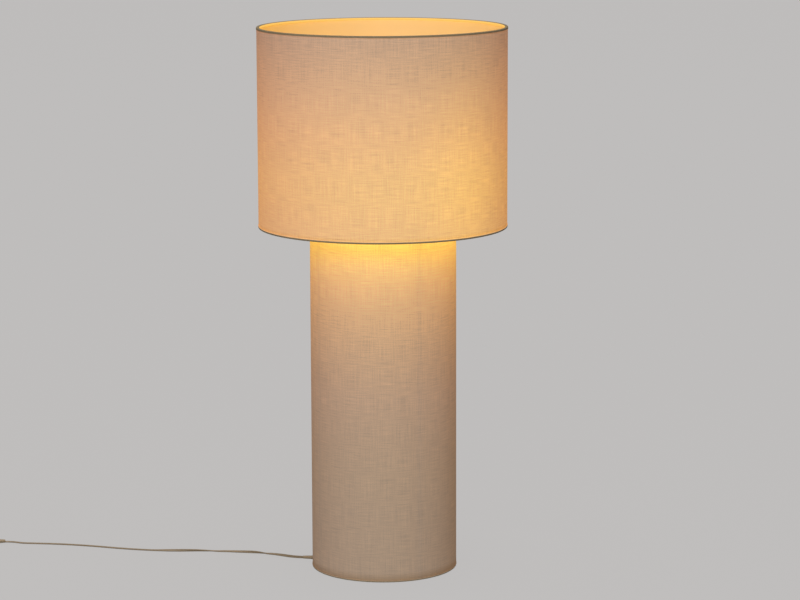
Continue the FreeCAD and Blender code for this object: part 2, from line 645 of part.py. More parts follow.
# Three countersunk bolts come up through plate, weight and flange into nuts.
bolt_start = "lead_angle + 180 / bolt_count"
bolt_hole = hole("bolt_circle / 2", "bolt_diameter / 2 + bolt_clearance",
                 "plate_bottom - past", "flange_top + past")
for carrier in (base_plate, base_weight, stem_flange):
    drilled(carrier, carrier.Label + "_bolt_holes", angle=bolt_start, count="bolt_count", **bolt_hole)
drilled(base_plate, "bolt_sinks", angle=bolt_start, count="bolt_count",
        axis=bolt_hole["axis"], outline=[
            ("bolt_circle / 2", "plate_bottom"),
            ("bolt_circle / 2 + bolt_head / 2 + bolt_clearance", "plate_bottom"),
            ("bolt_circle / 2 + bolt_diameter / 2 + bolt_clearance",
             "plate_bottom + bolt_head_height"),
            ("bolt_circle / 2", "plate_bottom + bolt_head_height")])
turned("base_bolts", angle=bolt_start, count="bolt_count", axis=bolt_hole["axis"], outline=[
    ("bolt_circle / 2", "plate_bottom"),
    ("bolt_circle / 2 + bolt_head / 2", "plate_bottom"),
    ("bolt_circle / 2 + bolt_diameter / 2", "plate_bottom + bolt_head_height"),
    ("bolt_circle / 2 + bolt_diameter / 2", "flange_top + nut_height + thread_end"),
    ("bolt_circle / 2", "flange_top + nut_height + thread_end")])


def hex_nut(name, across_flats, bore, height, low, circle="0", angle="0"):
    """A six-sided nut with a plain bore, on a pitch circle about the lamp's axis."""
    body = primitive("Prism", name + "_body", Circumradius=f"{across_flats} / sqrt(3)", Height=height)
    body.Polygon = 6
    bore_tool = primitive("Cylinder", name + "_bore", Radius=bore, Height=height)
    nut = cut(name, body, bore_tool)
    for key, formula in (("x", f"{circle} / 2 * cos({angle})"),
                         ("y", f"{circle} / 2 * sin({angle})"), ("z", low)):
        nut.setExpression(f"Placement.Base.{key}", bound(formula))
    return nut


group("base_nuts", [
    hex_nut(f"base_nut_{index + 1}", "nut_width", "bolt_diameter / 2 + thread_gap", "nut_height",
            "flange_top", "bolt_circle", f"{bolt_start} + {index} * 360 / bolt_count")
    for index in range(int(size("bolt_count")))])

# ---------------------------------------------------------------- stem

turned("stem_tube", block("stem_bore", "stem_diameter / 2", "weight_top", "stem_top"))
turned("stem_cap", [
    ("nipple_diameter / 2 + thread_gap", "nipple_bottom"),
    ("stem_bore - seat_gap", "nipple_bottom"),
    ("stem_bore - seat_gap", "stem_top"),
    ("stem_diameter / 2 + stem_cap_rim", "stem_top"),
    ("stem_diameter / 2 + stem_cap_rim", "stem_top + stem_cap_lip"),
    ("nipple_diameter / 2 + thread_gap", "stem_top + stem_cap_lip")])
turned("threaded_nipple", block("nipple_bore / 2", "nipple_diameter / 2", "nipple_bottom", "nipple_top"))
kept(hex_nut("nipple_nut", "hex_width", "nipple_diameter / 2 + thread_gap", "hex_height",
             "hex_bottom"), "nipple_nut")

# ---------------------------------------------------------------- lampholder and shade rings

turned("lampholder_cap", [
    ("nipple_diameter / 2 + thread_gap", "holder_bottom"),
    ("holder_boss / 2", "holder_bottom"),
    ("holder_boss / 2", "holder_bottom + holder_boss_height"),
    ("holder_diameter / 2", "holder_shoulder"),
    ("holder_diameter / 2", "skirt_bottom - ring_seat"),
    ("holder_diameter / 2 - holder_wall", "skirt_bottom - ring_seat"),
    ("holder_diameter / 2 - holder_wall", "holder_shoulder + holder_wall / 2"),
    ("holder_boss / 2 - holder_wall / 2", "holder_bottom + holder_boss_height + holder_wall"),
    ("nipple_diameter / 2 + thread_gap", "holder_bottom + holder_boss_height + holder_wall")])


def threaded(low, high, radius, depth, pitch):
    """Outline points of thread ridges on an outer wall, from low to high (whole ridges only)."""
    ridges = int((size(high) - size(low)) / size(pitch) - 0.5)
    points = []
    for ridge in range(ridges):
        foot = f"{low} + ({ridge} + 0.5) * {pitch}"
        crest = f"{foot} + {pitch} * thread_flank"
        points += [(f"{radius} - {depth}", foot), (radius, crest),
                   (radius, f"{crest} + {pitch} * thread_crest")]
    return points + [(f"{radius} - {depth}", f"{low} + ({ridges} + 0.5) * {pitch}")]


spigot_bottom = "skirt_bottom - skirt_spigot"
turned("lampholder_skirt", [
    ("cap_diameter / 2 + cap_clearance", "insert_top + ring_seat"),
    ("insert_diameter / 2 + seat_gap", "insert_top + ring_seat"),
    ("insert_diameter / 2 + seat_gap", spigot_bottom),
    ("holder_diameter / 2 - holder_wall - ring_seat", spigot_bottom),
    ("holder_diameter / 2 - holder_wall - ring_seat", "skirt_bottom"),
    ("skirt_diameter / 2 - thread_depth", "skirt_bottom"),
    *threaded("skirt_bottom", "skirt_top", "skirt_diameter / 2", "thread_depth", "thread_pitch"),
    ("skirt_diameter / 2 - thread_depth", "skirt_top"),
    ("cap_diameter / 2 + cap_clearance", "skirt_top")])

turned("lampholder_insert", block("0", "insert_diameter / 2", "insert_bottom", "insert_top"))

kept(primitive("Box", "lampholder_contact", Length="strip_length", Width="strip_width",
               Height="contact_strip", x="-strip_length / 2", y="-strip_width / 2",
               z="insert_top"), "lampholder_contact")


def grip_ring(label, bottom):
    """A shade ring: a smooth bore over the thread and a ring of grip ridges outside."""
    ring = turned(label, [
        ("skirt_diameter / 2 + ring_clearance", bottom),
        ("ring_diameter / 2 - ring_bevel", bottom),
        ("ring_diameter / 2", f"{bottom} + ring_bevel"),
        ("ring_diameter / 2", f"{bottom} + ring_height - ring_bevel"),
        ("ring_diameter / 2 - ring_bevel", f"{bottom} + ring_height"),
        ("skirt_diameter / 2 + ring_clearance", f"{bottom} + ring_height")])
    drilled(ring, label + "_grips", count="grip_count", **hole(
        "ring_diameter / 2 + grip_radius / 2", "grip_radius", f"{bottom} - past",
        f"{bottom} + ring_height + past"))


grip_ring("lower_shade_ring", "low_ring_bottom")
grip_ring("upper_shade_ring", "fitter_top + ring_seat")

# ---------------------------------------------------------------- fitter of the shade

turned("shade_fitter_ring", block("fitter_bore / 2", "fitter_width / 2", "fitter_bottom", "fitter_top"))
fitter_arm = ("frame_angle - 90", ("fitter_width / 2 + seat_gap", "shade_ring_low"),
              ("shade_ring_radius - shade_wire / 2 - seat_gap", "shade_ring_low"))
turned("shade_fitter_arms", count="arm_count", **rod(*fitter_arm, "arm_wire / 2"))
drilled(shade_bottom_trim, "shade_bottom_slits", count="arm_count", **rod(
    *fitter_arm, "(arm_wire / 2 + seat_gap)"))

# ---------------------------------------------------------------- bulb

cap_inner = "cap_diameter / 2 - cap_thread_depth - cap_wall"
turned("bulb_cap", [
    (cap_inner, "cap_bottom"),
    ("cap_diameter / 2 - cap_thread_depth", "cap_bottom"),
    *threaded("cap_bottom", "cap_top", "cap_diameter / 2", "cap_thread_depth", "cap_pitch"),
    ("cap_diameter / 2 - cap_thread_depth", "cap_top"),
    (cap_inner, "cap_top")])
turned("bulb_insulator", [
    ("tip_diameter / 2", "tip_bottom + tip_height"),
    (cap_inner, "cap_bottom - seat_gap"),
    ("0", "cap_bottom - seat_gap"),
    ("0", "tip_bottom + tip_height")])
turned("bulb_contact", [
    ("0", "tip_bottom"),
    ("tip_flat / 2", "tip_bottom"),
    ("tip_diameter / 2 - seat_gap", "tip_bottom + tip_height - seat_gap"),
    ("0", "tip_bottom + tip_height - seat_gap")])


def bulb_form(name, radius, neck):
    """A globe that narrows to a neck in the lamp cap: a sphere, a cone tangent to it, a tube."""
    reach = "(bulb_centre - cap_top)"
    lean = f"(asin({radius} / sqrt({neck}^2 + {reach}^2)) - atan({neck} / {reach}))"
    globe = primitive("Sphere", name + "_globe", Radius=radius, Angle1=f"-{lean}", z="bulb_centre")
    cone = primitive("Cone", name + "_neck", Radius1=neck, Radius2=f"{radius} * cos({lean})",
                     Height=f"{reach} - {radius} * sin({lean})", z="cap_top")
    tube = primitive("Cylinder", name + "_tube", Radius=neck, Height="glass_in_cap",
                     z="cap_top - glass_in_cap")
    return joined(name, [globe, cone, tube])


kept(cut("bulb_glass", bulb_form("bulb_outside", "(bulb_diameter / 2)", "(bulb_neck / 2)"),
         bulb_form("bulb_inside", "(bulb_diameter / 2 - bulb_wall)", "(bulb_neck / 2 - bulb_wall)")),
     "bulb_glass")
turned("bulb_mount", [
    ("0", "mount_foot"),
    ("bulb_neck / 2 - bulb_wall - seat_gap", "mount_foot"),
    ("bulb_neck / 2 - bulb_wall - seat_gap", "mount_foot + mount_foot_height"),
    ("mount_diameter / 2", "filament_foot"),
    ("mount_diameter / 2", "bulb_centre"),
    ("0", "bulb_centre")])
turned("bulb_filaments", count="filament_count", **hole(
    "mount_diameter / 2 + filament_diameter / 2 + seat_gap", "filament_diameter / 2",
    "filament_foot", "filament_foot + filament_length"))

# ---------------------------------------------------------------- lead inside the lamp

turned("lead_grommet", angle="lead_angle",
       axis=[("lip_inner", "lead_height"), ("relief_end", "lead_height")], outline=[
           ("lip_inner", "lead_height"),
           ("lip_inner", "lead_height + grommet_neck / 2"),
           ("lip_outer", "lead_height + grommet_lip / 2"),
           ("lip_outer", "lead_height + grommet_neck / 2"),
           ("column_cover + seat_gap", "lead_height + grommet_neck / 2"),
           ("column_cover + seat_gap", "lead_height + grommet_flange / 2"),
           ("grommet_outer", "lead_height + grommet_flange / 2"),
           ("grommet_outer", "lead_height + relief_root / 2"),
           ("relief_end", "lead_height + relief_tip / 2"),
           ("relief_end", "lead_height")])


def bend(before, corner, after, radius):
    """The arc that rounds a corner of a route: its start, middle and end, and its radius.

    With no radius given it is as large as the two runs allow: 0.45 of the shorter run.
    """
    back, ahead = (before - corner), (after - corner)
    turn = math.pi - back.getAngle(ahead)
    if radius is None:
        radius = 0.45 * min(back.Length, ahead.Length) / math.tan(turn / 2)
    reach = radius * math.tan(turn / 2)
    back.normalize()
    ahead.normalize()
    middle = (back + ahead).normalize() * (radius / math.cos(turn / 2) - radius)
    return corner + back * reach, corner + middle, corner + ahead * reach, radius


def swept(label, path, thickness, tightest):
    """Round wire or lead along a path; prints its length, tightest bend and volume check."""
    start = path.Edges[0]
    direction = start.tangentAt(start.FirstParameter)
    ring = Part.makeCircle(thickness / 2, start.valueAt(start.FirstParameter), direction)
    shape = path.makePipeShell([Part.Wire([ring])], True, False)
    share = shape.Volume / (math.pi * thickness * thickness / 4 * path.Length)
    print(f"{label}: {path.Length:.1f} mm long, tightest bend {tightest:.1f} mm,"
          f" volume over section times length {share:.5f}")
    piece = document.addObject("Part::Feature", label)
    piece.Shape = shape
    return kept(piece, label)


def lead_tube(label, route, radius=None):
    """A free or clipped stretch of the lead: straight runs joined by tangent arcs."""
    edges, radii, start = [], [], route[0]
    for before, corner, after in zip(route, route[1:], route[2:]):
        first, middle, last, rounding = bend(before, corner, after, radius)
        edges += [Part.LineSegment(start, first).toShape(), Part.Arc(first, middle, last).toShape()]
        radii.append(rounding)
        start = last
    edges.append(Part.LineSegment(start, route[-1]).toShape())
    return swept(label, Part.Wire(edges), size("lead_diameter"), min(radii))


inner_start = Vector(size("lip_inner * cos(lead_angle)"), size("lip_inner * sin(lead_angle)"),
                     size("lead_height"))
lead_tube("inner_lead", [inner_start, Vector(0, 0, size("lead_height")),
                         Vector(0, 0, size("nipple_top"))], radius=size("lead_bend"))

core_reach = "core_diameter / 2 + seat_gap"
group("lead_cores", [
    primitive("Cylinder", f"lead_core_{index + 1}", Radius="core_diameter / 2",
              Height="insert_bottom - nipple_top - 2 * seat_gap",
              x=f"{side} * ({core_reach})", z="nipple_top + seat_gap")
    for index, side in enumerate((-1, 1))])


def set_at(feature, angle, **places_by_axis):
    """Turns a finished shape about +Z and moves it to its place."""
    feature.Placement = Placement(Vector(), Rotation(Vector(0, 0, 1), size(angle)))
    feature.setExpression("Placement.Rotation.Angle", bound(angle))
    for key, formula in places_by_axis.items():
        feature.setExpression(f"Placement.Base.{key}", bound(formula))
    return feature


# A saddle clip holds the inner lead to the plate. Its own X runs along the lead.
clip_bore = "lead_diameter / 2 + seat_gap"
arch_radius = f"({clip_bore} + clip_thickness)"


def saddle(name, radius, low, length):
    """A round top over straight sides, along X."""
    top = primitive("Cylinder", name + "_top", Radius=radius, Height=length)
    top.Placement = Placement(Vector(), Rotation(Vector(0, 1, 0), 90))
    top.setExpression("Placement.Base.x", bound(f"-({length}) / 2"))
    top.setExpression("Placement.Base.z", bound("lead_height"))
    sides = primitive("Box", name + "_sides", Length=length, Width=f"2 * {radius}",
                      Height=f"lead_height - ({low})", x=f"-({length}) / 2", y=f"-({radius})", z=low)
    return joined(name, [top, sides])


clip_feet = primitive("Box", "clip_feet", Length="clip_width", Width="clip_span",
                      Height="clip_thickness", x="-clip_width / 2", y="-clip_span / 2", z="plate_top")
clip_holes = [
    primitive("Cylinder", f"clip_hole_{index + 1}", Radius="clip_screw / 2 + thread_gap",
              Height="clip_thickness + 2 * past", y=f"{side} * clip_screw_span / 2",
              z="plate_top - past")
    for index, side in enumerate((-1, 1))]
clip = cut("lead_clip",
           joined("clip_solid", [clip_feet, saddle("clip_arch", arch_radius, "plate_top", "clip_width")]),
           joined("clip_way", [*clip_holes, saddle("clip_bore", f"({clip_bore})", "plate_top - past",
                                                   "clip_width + 2 * past")]))
clip_place = {"x": "clip_circle / 2 * cos(lead_angle)", "y": "clip_circle / 2 * sin(lead_angle)"}
kept(set_at(clip, "lead_angle", **clip_place), "lead_clip")

clip_head_bottom = "plate_top + clip_thickness"
clip_screws = []
for index, side in enumerate(("+", "-")):
    turn = f"lead_angle {side} clip_turn"
    drilled(base_plate, f"clip_screw_hole_{index + 1}", angle=turn, **hole(
        "clip_screw_circle / 2", "clip_screw / 2 + thread_gap", "plate_bottom - past",
        "plate_top + past"))
    head = primitive("Cylinder", f"clip_screw_head_{index + 1}", Radius="clip_screw_head / 2",
                     Height="clip_screw_head_height", z=clip_head_bottom)
    shank = primitive("Cylinder", f"clip_screw_shank_{index + 1}", Radius="clip_screw / 2",
                      Height="clip_thickness + plate_thickness - screw_short",
                      z="plate_bottom + screw_short")
    clip_screws.append(set_at(joined(f"clip_screw_{index + 1}", [head, shank]), turn,
                              x=f"clip_screw_circle / 2 * cos({turn})",
                              y=f"clip_screw_circle / 2 * sin({turn})"))
group("lead_clip_screws", clip_screws)

# ---------------------------------------------------------------- wound paths


def arc_under(start, apex, end):
    """The arc from start to end whose end tangents meet at the apex."""
    base = (start + end) * 0.5
    half, rise = (end - start).Length / 2, (apex - base).Length
    lift = half * math.tan(math.atan2(rise, half) / 2)
    return Part.Arc(start, base + (apex - base).normalize() * lift, end).toShape()


def biarc(start, start_way, end, end_way):
    """Two arcs in a smooth row from one point and direction to another."""
    chord = end - start
    along = chord.dot(start_way + end_way)
    spare = 2 * (1 - start_way.dot(end_way))
    handle = (math.sqrt(along * along + spare * chord.dot(chord)) - along) / spare
    near, far = start + start_way * handle, end - end_way * handle
    joint = (near + far) * 0.5
    return [arc_under(start, near, joint), arc_under(joint, far, end)]


def wound_path(place, steps, straight=0.0):
    """Biarcs from place(0) to place(1), with a straight piece before the first and after the last.

    place gives the point at a share of the winding. steps is the number of biarcs.
    """
    nudge = 1e-5
    points = [place(step / steps) for step in range(steps + 1)]
    ways = [(place(step / steps + nudge) - place(step / steps - nudge)).normalize()
            for step in range(steps + 1)]
    arcs = []
    for index in range(steps):
        arcs += biarc(points[index], ways[index], points[index + 1], ways[index + 1])
    if not straight:
        return Part.Wire(arcs)
    before, after = points[0] - ways[0] * straight, points[-1] + ways[-1] * straight
    return Part.Wire([Part.LineSegment(before, points[0]).toShape(), *arcs,
                      Part.LineSegment(points[-1], after).toShape()])


def least_gap(path, thickness):
    """Smallest gap of a wound tube to itself, between places more than four widths apart."""
    spacing = thickness / 6
    points = path.discretize(Distance=spacing)
    apart = int(4 * thickness / spacing)
    nearest = min((points[low] - points[high]).Length
                  for low in range(len(points)) for high in range(low + apart, len(points)))
    return nearest - thickness


# ---------------------------------------------------------------- wound lead

# The lead that the photograph doesn't show is wound up: a spiral in, then out on top of it.
lead = size("lead_diameter")
coil_turns, coil_pitch, coil_inner = size("coil_turns"), size("coil_pitch"), size("coil_inner")
coil_centre = Vector(size("coil_x"), size("coil_y"), size("coil_height"))
climb_start = coil_turns / 2 - 0.25


def coil_point(share):
    """Centre of the wound lead at a share of its turns; it starts at the coil's -X side.

    The radius shrinks by a pitch each turn, dips through the half turn in the middle while
    the lead climbs by a pitch, and then grows by a pitch each turn.
    """
    climbing = share * coil_turns - climb_start
    if 0 < climbing < 0.5:
        radius = coil_inner - coil_pitch / (2 * math.pi) * math.sin(2 * math.pi * climbing)
        climbed = (1 - math.cos(2 * math.pi * climbing)) / 2
    else:
        radius = coil_inner + max(-climbing, climbing - 0.5) * coil_pitch
        climbed = 0 if climbing <= 0 else 1
    angle = math.pi + 2 * math.pi * share * coil_turns
    return coil_centre + Vector(radius * math.cos(angle), radius * math.sin(angle), climbed * coil_pitch)


coil_path = wound_path(coil_point, steps=int(coil_turns * 4), straight=lead)
swept("lead_coil", coil_path, lead, coil_inner - coil_pitch / (2 * math.pi))
print(f"lead_coil: least gap to itself {least_gap(coil_path, lead):.2f} mm")
coil_entry, coil_exit = coil_path.OrderedVertexes[0].Point, coil_path.OrderedVertexes[-1].Point

# A soft band holds the turns together. Its own X runs out from the coil's centre.
tie_run, tie_rise = "tie_high - tie_low", "coil_pitch + lead_diameter + 2 * tie_gap"
tie_floor = "coil_height - lead_diameter / 2 - tie_gap"
tie_outside = primitive(
    "Box", "tie_outside", Length=f"{tie_run} + 2 * tie_thickness", Width="tie_width",
    Height=f"{tie_rise} + 2 * tie_thickness", x="tie_low - tie_thickness", y="-tie_width / 2",
    z=f"{tie_floor} - tie_thickness")
tie_inside = primitive("Box", "tie_inside", Length=tie_run, Width="tie_width * 2", Height=tie_rise,
                       x="tie_low", y="-tie_width", z=tie_floor)
kept(set_at(cut("lead_tie", tie_outside, tie_inside), "tie_angle", x="coil_x", y="coil_y"),
     "lead_tie")

# ---------------------------------------------------------------- free lead

# Points of a route: across from the strain relief's tip along X and Y, and clear under the lead.
LEAD_TO_SWITCH = [
    (0.0, 0.0, 7.3),
    (-11.9, 1.5, 7.3),
    (-25.6, 7.6, 7.1),
    (-39.6, 18.9, 6.3),
    (-54.5, 33.8, 4.9),
    (-72.3, 49.8, 3.0),
    (-96.5, 63.8, 1.2),
    (-129.8, 74.6, 0.1),
    (-171.0, 82.6, 0.0),
    (-216.8, 86.6, 0.0),
    (-262.8, 85.8, 0.0),
    (-304.5, 90.9, 0.0),
    (-347.6, 99.7, 0.0),
    (-390.1, 111.1, 0.0),
    (-433.5, 126.4, 0.0),
    (-477.7, 139.1, 0.0),
    (-522.7, 148.7, 0.0),
    (-566.4, 154.1, 0.0),
    (-594.4, 155.9, 0.3),
    (-608.4, 156.3, 2.0),
    (-620.4, 156.4, 3.3),
    (-632.6, 156.4, 3.3),
]
LEAD_TO_COIL = [
    (-736.6, 156.4, 3.3),
    (-746.6, 156.4, 3.3),
    (-762.9, 153.4, 2.0),
    (-777.1, 144.5, 1.2),
    (-786.9, 132.5, 0.8),
    (-791.5, 119.5, 0.8),
    (-791.2, 109.4, 0.8),
]
LEAD_TO_PLUG = [
    (-747.7, 65.9, 6.9),
    (-739.0, 65.7, 6.9),
    (-726.0, 66.6, 5.7),
    (-713.0, 68.0, 4.15),
    (-702.6, 68.0, 4.15),
]


def fitted(route, start, end):
    """A route's points in the lamp's frame, eased so that its ends meet two places."""
    tip = Vector(size("tip_x"), size("tip_y"), lead / 2)
    points = [tip + Vector(*point) for point in route]
    steps = [(after - before).Length for before, after in zip(points, points[1:])]
    shares = [sum(steps[:index]) / sum(steps) for index in range(len(points))]
    off_start, off_end = start - points[0], end - points[-1]
    return [point + off_start * (1 - share) + off_end * share for point, share in zip(points, shares)]


switch_reach = "(switch_length / 2 + switch_relief_length)"
lead_tube("lead_to_switch", fitted(
    LEAD_TO_SWITCH, Vector(size("tip_x"), size("tip_y"), size("lead_height")),
    Vector(size(f"switch_x + {switch_reach}"), size("switch_y"), size("switch_lead_height"))))
lead_tube("lead_to_coil", fitted(
    LEAD_TO_COIL,
    Vector(size(f"switch_x - {switch_reach}"), size("switch_y"), size("switch_lead_height")),
    coil_entry))
lead_tube("lead_to_plug", fitted(
    LEAD_TO_PLUG, coil_exit, Vector(size("plug_x"), size("plug_y"), size("plug_height"))))

# ---------------------------------------------------------------- foot switch


def upright(name, radius, low, high, x="0", y="0"):
    """An upright cylinder between two heights."""
    return primitive("Cylinder", name, Radius=radius, Height=f"{high} - ({low})", x=x, y=y, z=low)


def lying(name, start, end, height, radius, far_radius=None):
    """A round bar along X between two places, or a cone with its far radius at the end."""
    radii = {"Radius": radius} if far_radius is None else {"Radius1": radius, "Radius2": far_radius}
    kind = "Cylinder" if far_radius is None else "Cone"
    bar = primitive(kind, name, Height=f"{end} - ({start})", **radii)
    bar.Placement = Placement(Vector(), Rotation(Vector(0, 1, 0), 90))
    bar.setExpression("Placement.Base.x", bound(start))
    bar.setExpression("Placement.Base.z", bound(height))
    return bar


def stadium(name, inset, low, high):
    """The switch's outline, set in all round: a block with half-round ends along X."""
    radius = f"(switch_width / 2 - ({inset}))"
    centre = "(switch_length - switch_width) / 2"
    ends = [upright(f"{name}_end_{side}", radius, low, high, x=f"{sign}{centre}")
            for side, sign in enumerate(("-", ""))]
    middle = primitive("Box", name + "_middle", Length=f"2 * {centre}", Width=f"2 * {radius}",
                       Height=f"{high} - ({low})", x=f"-{centre}", y=f"-{radius}", z=low)
    return joined(name, [*ends, middle])


def at_switch(feature, label):
    """Moves a shape made round the lamp's axis to the foot switch."""
    return kept(set_at(feature, "0", x="switch_x", y="switch_y"), label)


def at_screws(name, radius, low, high):
    """An upright cylinder at both case screws, in opposite corners of the switch."""
    return [upright(f"{name}_{side}", radius, low, high, x=f"{sign}case_screw_span / 2",
                    y=f"{sign}case_screw_spread / 2") for side, sign in enumerate(("-", ""))]


half = "switch_length / 2"
ceiling = "switch_height - switch_wall"
relief_lip_end = ("(switch_length - switch_width) / 2 - seat_gap"
                  " + sqrt((switch_width / 2 - switch_wall)^2 - (switch_relief_lip / 2)^2)")
lead_way = {"start": f"-{half} * 2", "end": f"{half} * 2", "height": "switch_lead_height",
            "radius": "switch_relief_neck / 2 + thread_gap"}
at_switch(
    cut("switch_base_done",
        joined("switch_base_solid", [
            cut("switch_tray", stadium("switch_tray_outside", "0", "0", "switch_base_height"),
                stadium("switch_tray_inside", "switch_wall", "switch_wall", "switch_height")),
            *at_screws("switch_base_post", "case_post / 2", "switch_wall / 2", "switch_base_height")]),
        joined("switch_base_ways", [
            *at_screws("switch_base_hole", "case_screw / 2 + thread_gap", "-past", "switch_height"),
            *at_screws("switch_base_sink", "case_screw_head / 2 + thread_gap", "-past",
                       "case_screw_depth"),
            lying("switch_base_way", **lead_way)])),
    "foot_switch_base")

cover_block = stadium("switch_cover_outside", "0", "switch_base_height", "switch_height")
document.recompute()
rounded = document.addObject("Part::Fillet", "switch_cover_rounded")
rounded.Base = cover_block
rounded.Edges = [(number, size("switch_round"), size("switch_round"))
                 for number, edge in enumerate(cover_block.Shape.Edges, start=1)
                 if edge.BoundBox.ZMin > size("switch_height") - size("seat_gap")]
at_switch(
    cut("switch_cover_done",
        joined("switch_cover_solid", [
            cut("switch_shell", rounded,
                stadium("switch_shell_inside", "switch_wall", "0", ceiling)),
            *at_screws("switch_cover_post", "case_post / 2", "switch_base_height",
                       f"{ceiling} + switch_wall / 2")]),
        joined("switch_cover_ways", [
            *at_screws("switch_cover_hole", "case_screw / 2 + thread_gap", "0",
                       "case_screw_depth + case_screw_length + seat_gap"),
            upright("switch_button_way", "button_diameter / 2 + button_gap", ceiling,
                    "switch_height + switch_wall"),
            lying("switch_cover_way", **lead_way)])),
    "foot_switch_cover")

button = turned("foot_switch_button", [
    ("button_bore / 2", "button_bottom"),
    ("button_diameter / 2 + button_flange", "button_bottom"),
    ("button_diameter / 2 + button_flange", f"{ceiling} - ring_seat"),
    ("button_diameter / 2", f"{ceiling} - ring_seat"),
    ("button_diameter / 2", "button_top - button_bevel"),
    ("button_diameter / 2 - button_bevel", "button_top"),
    ("0", "button_top"),
    ("0", "button_top - button_wall"),
    ("button_bore / 2", "button_top - button_wall")])
set_at(button, "0", x="switch_x", y="switch_y")

block_top = "switch_wall + contact_height"
at_switch(primitive("Box", "switch_contact_block", Length="contact_length", Width="contact_width",
                    Height="contact_height", z="switch_wall"), "foot_switch_contacts")
SUB_PARTS[-1].setExpression("Placement.Base.x", bound("switch_x - contact_length / 2"))
SUB_PARTS[-1].setExpression("Placement.Base.y", bound("switch_y - contact_width / 2"))

spring_low = size(f"{block_top} + spring_gap + spring_wire / 2")
spring_rise = size("button_top - button_wall - spring_gap - spring_wire / 2") - spring_low


def spring_point(share):
    """Centre of the spring's wire at a share of its turns."""
    angle, radius = 2 * math.pi * size("spring_turns") * share, size("spring_diameter") / 2
    return Vector(size("switch_x") + radius * math.cos(angle),
                  size("switch_y") + radius * math.sin(angle), spring_low + spring_rise * share)


spring_path = wound_path(spring_point, steps=int(size("spring_turns")) * 4)
swept("foot_switch_spring", spring_path, size("spring_wire"), size("spring_diameter") / 2)
print(f"foot_switch_spring: least gap to itself {least_gap(spring_path, size('spring_wire')):.2f} mm")

case_screws = []
for index, sign in enumerate(("-", "")):
    head = upright(f"case_screw_head_{index}", "case_screw_head / 2",
                   "case_screw_depth - case_screw_head_height", "case_screw_depth")
    shank = upright(f"case_screw_shank_{index}", "case_screw / 2",
                    "case_screw_depth", "case_screw_depth + case_screw_length")
    case_screws.append(set_at(joined(f"case_screw_{index}", [head, shank]), "0",
                              x=f"switch_x {sign or '+'} case_screw_span / 2",
                              y=f"switch_y {sign or '+'} case_screw_spread / 2"))
group("foot_switch_screws", case_screws)

reliefs = []
for index, way in enumerate((0, 180)):
    cone = lying(f"relief_cone_{index}", half, f"{half} + switch_relief_length",
                 "switch_lead_height", "switch_relief_root / 2", "switch_relief_tip / 2")
    neck = lying(f"relief_neck_{index}", relief_lip_end, half, "switch_lead_height",
                 "switch_relief_neck / 2")
    lip = lying(f"relief_lip_{index}", f"{relief_lip_end} - switch_relief_lip_wall", relief_lip_end,
                "switch_lead_height", "switch_relief_lip / 2")
    reliefs.append(set_at(joined(f"relief_{index}", [cone, neck, lip]), str(way),
                          x="switch_x", y="switch_y"))
group("foot_switch_reliefs", reliefs)

# ---------------------------------------------------------------- plug

# Made round the origin with its pins along +X.
taper = primitive("Wedge", "plug_taper_block", Xmin="-plug_back_width / 2", Xmax="plug_back_width / 2",
                  X2min="-plug_width / 2", X2max="plug_width / 2", Ymin="plug_relief_length",
                  Ymax="plug_relief_length + plug_taper", Zmin="-plug_back_thickness / 2",
                  Zmax="plug_back_thickness / 2", Z2min="-plug_height", Z2max="plug_height")
taper.Placement = Placement(Vector(), Rotation(Vector(0, 0, 1), -90))
front = primitive("Box", "plug_front_block", Length="plug_front", Width="plug_width",
                  Height="plug_thickness", x="plug_relief_length + plug_taper", y="-plug_width / 2",
                  z="-plug_height")
corner_reach = "((plug_width + plug_thickness) / 2 - plug_corner)"
side = f"({corner_reach} * sqrt(2))"
bevels = primitive("Box", "plug_bevels", Length="plug_relief_length + plug_taper + plug_front",
                   Width=side, Height=side, z=f"-{corner_reach}")
bevels.Placement = Placement(Vector(0, 0, 0), Rotation(Vector(1, 0, 0), 45))
trimmed = document.addObject("Part::MultiCommon", "plug_trimmed")
trimmed.Shapes = [joined("plug_blank", [taper, front]), bevels]
plug_relief = lying("plug_relief", "0", "plug_relief_length + plug_taper / 4", "0",
                    "plug_relief_tip / 2", "plug_relief_root / 2")
pin_start = "plug_relief_length + plug_taper + plug_front - pin_root"
pin_end = "plug_relief_length + plug_taper + plug_front + pin_length"
pin_ways, pins = [], []
for index, sign in enumerate(("-", "")):
    aside = f"{sign}pin_spacing / 2"
    way = lying(f"plug_pin_way_{index}", pin_start, pin_end, "0", "pin_diameter / 2 + thread_gap")
    way.setExpression("Placement.Base.y", bound(aside))
    pin_ways.append(way)
    pin = turned_body(f"plug_pin_{index}", axis=[(pin_start, "0"), (pin_end, "0")], outline=[
        (pin_start, "0"),
        (pin_start, "pin_diameter / 2"),
        (f"{pin_end} - pin_bevel * 2", "pin_diameter / 2"),
        (f"{pin_end} - pin_bevel / 2", "pin_diameter / 2 - pin_bevel / 2"),
        (pin_end, "pin_diameter / 2 - pin_bevel"),
        (pin_end, "0")])
    pins.append(set_at(pin, "0", x="plug_x", y=f"plug_y + {aside}", z="plug_height"))
plug = cut("plug_done", joined("plug_solid", [trimmed, plug_relief]), joined("plug_ways", pin_ways))
kept(set_at(plug, "0", x="plug_x", y="plug_y", z="plug_height"), "plug_body")
group("plug_pins", pins)

# ---------------------------------------------------------------- checks and files

document.recompute()
problems = [f"{item.Label}: {', '.join(item.State)}" for item in document.Objects
            if {"Invalid", "Error"} & set(item.State)]
problems += [f"{part.Label}: no valid solid" for part in SUB_PARTS
             if part.Shape.isNull() or not part.Shape.isValid() or not part.Shape.Solids]
if problems:
    raise RuntimeError("\n".join(problems))

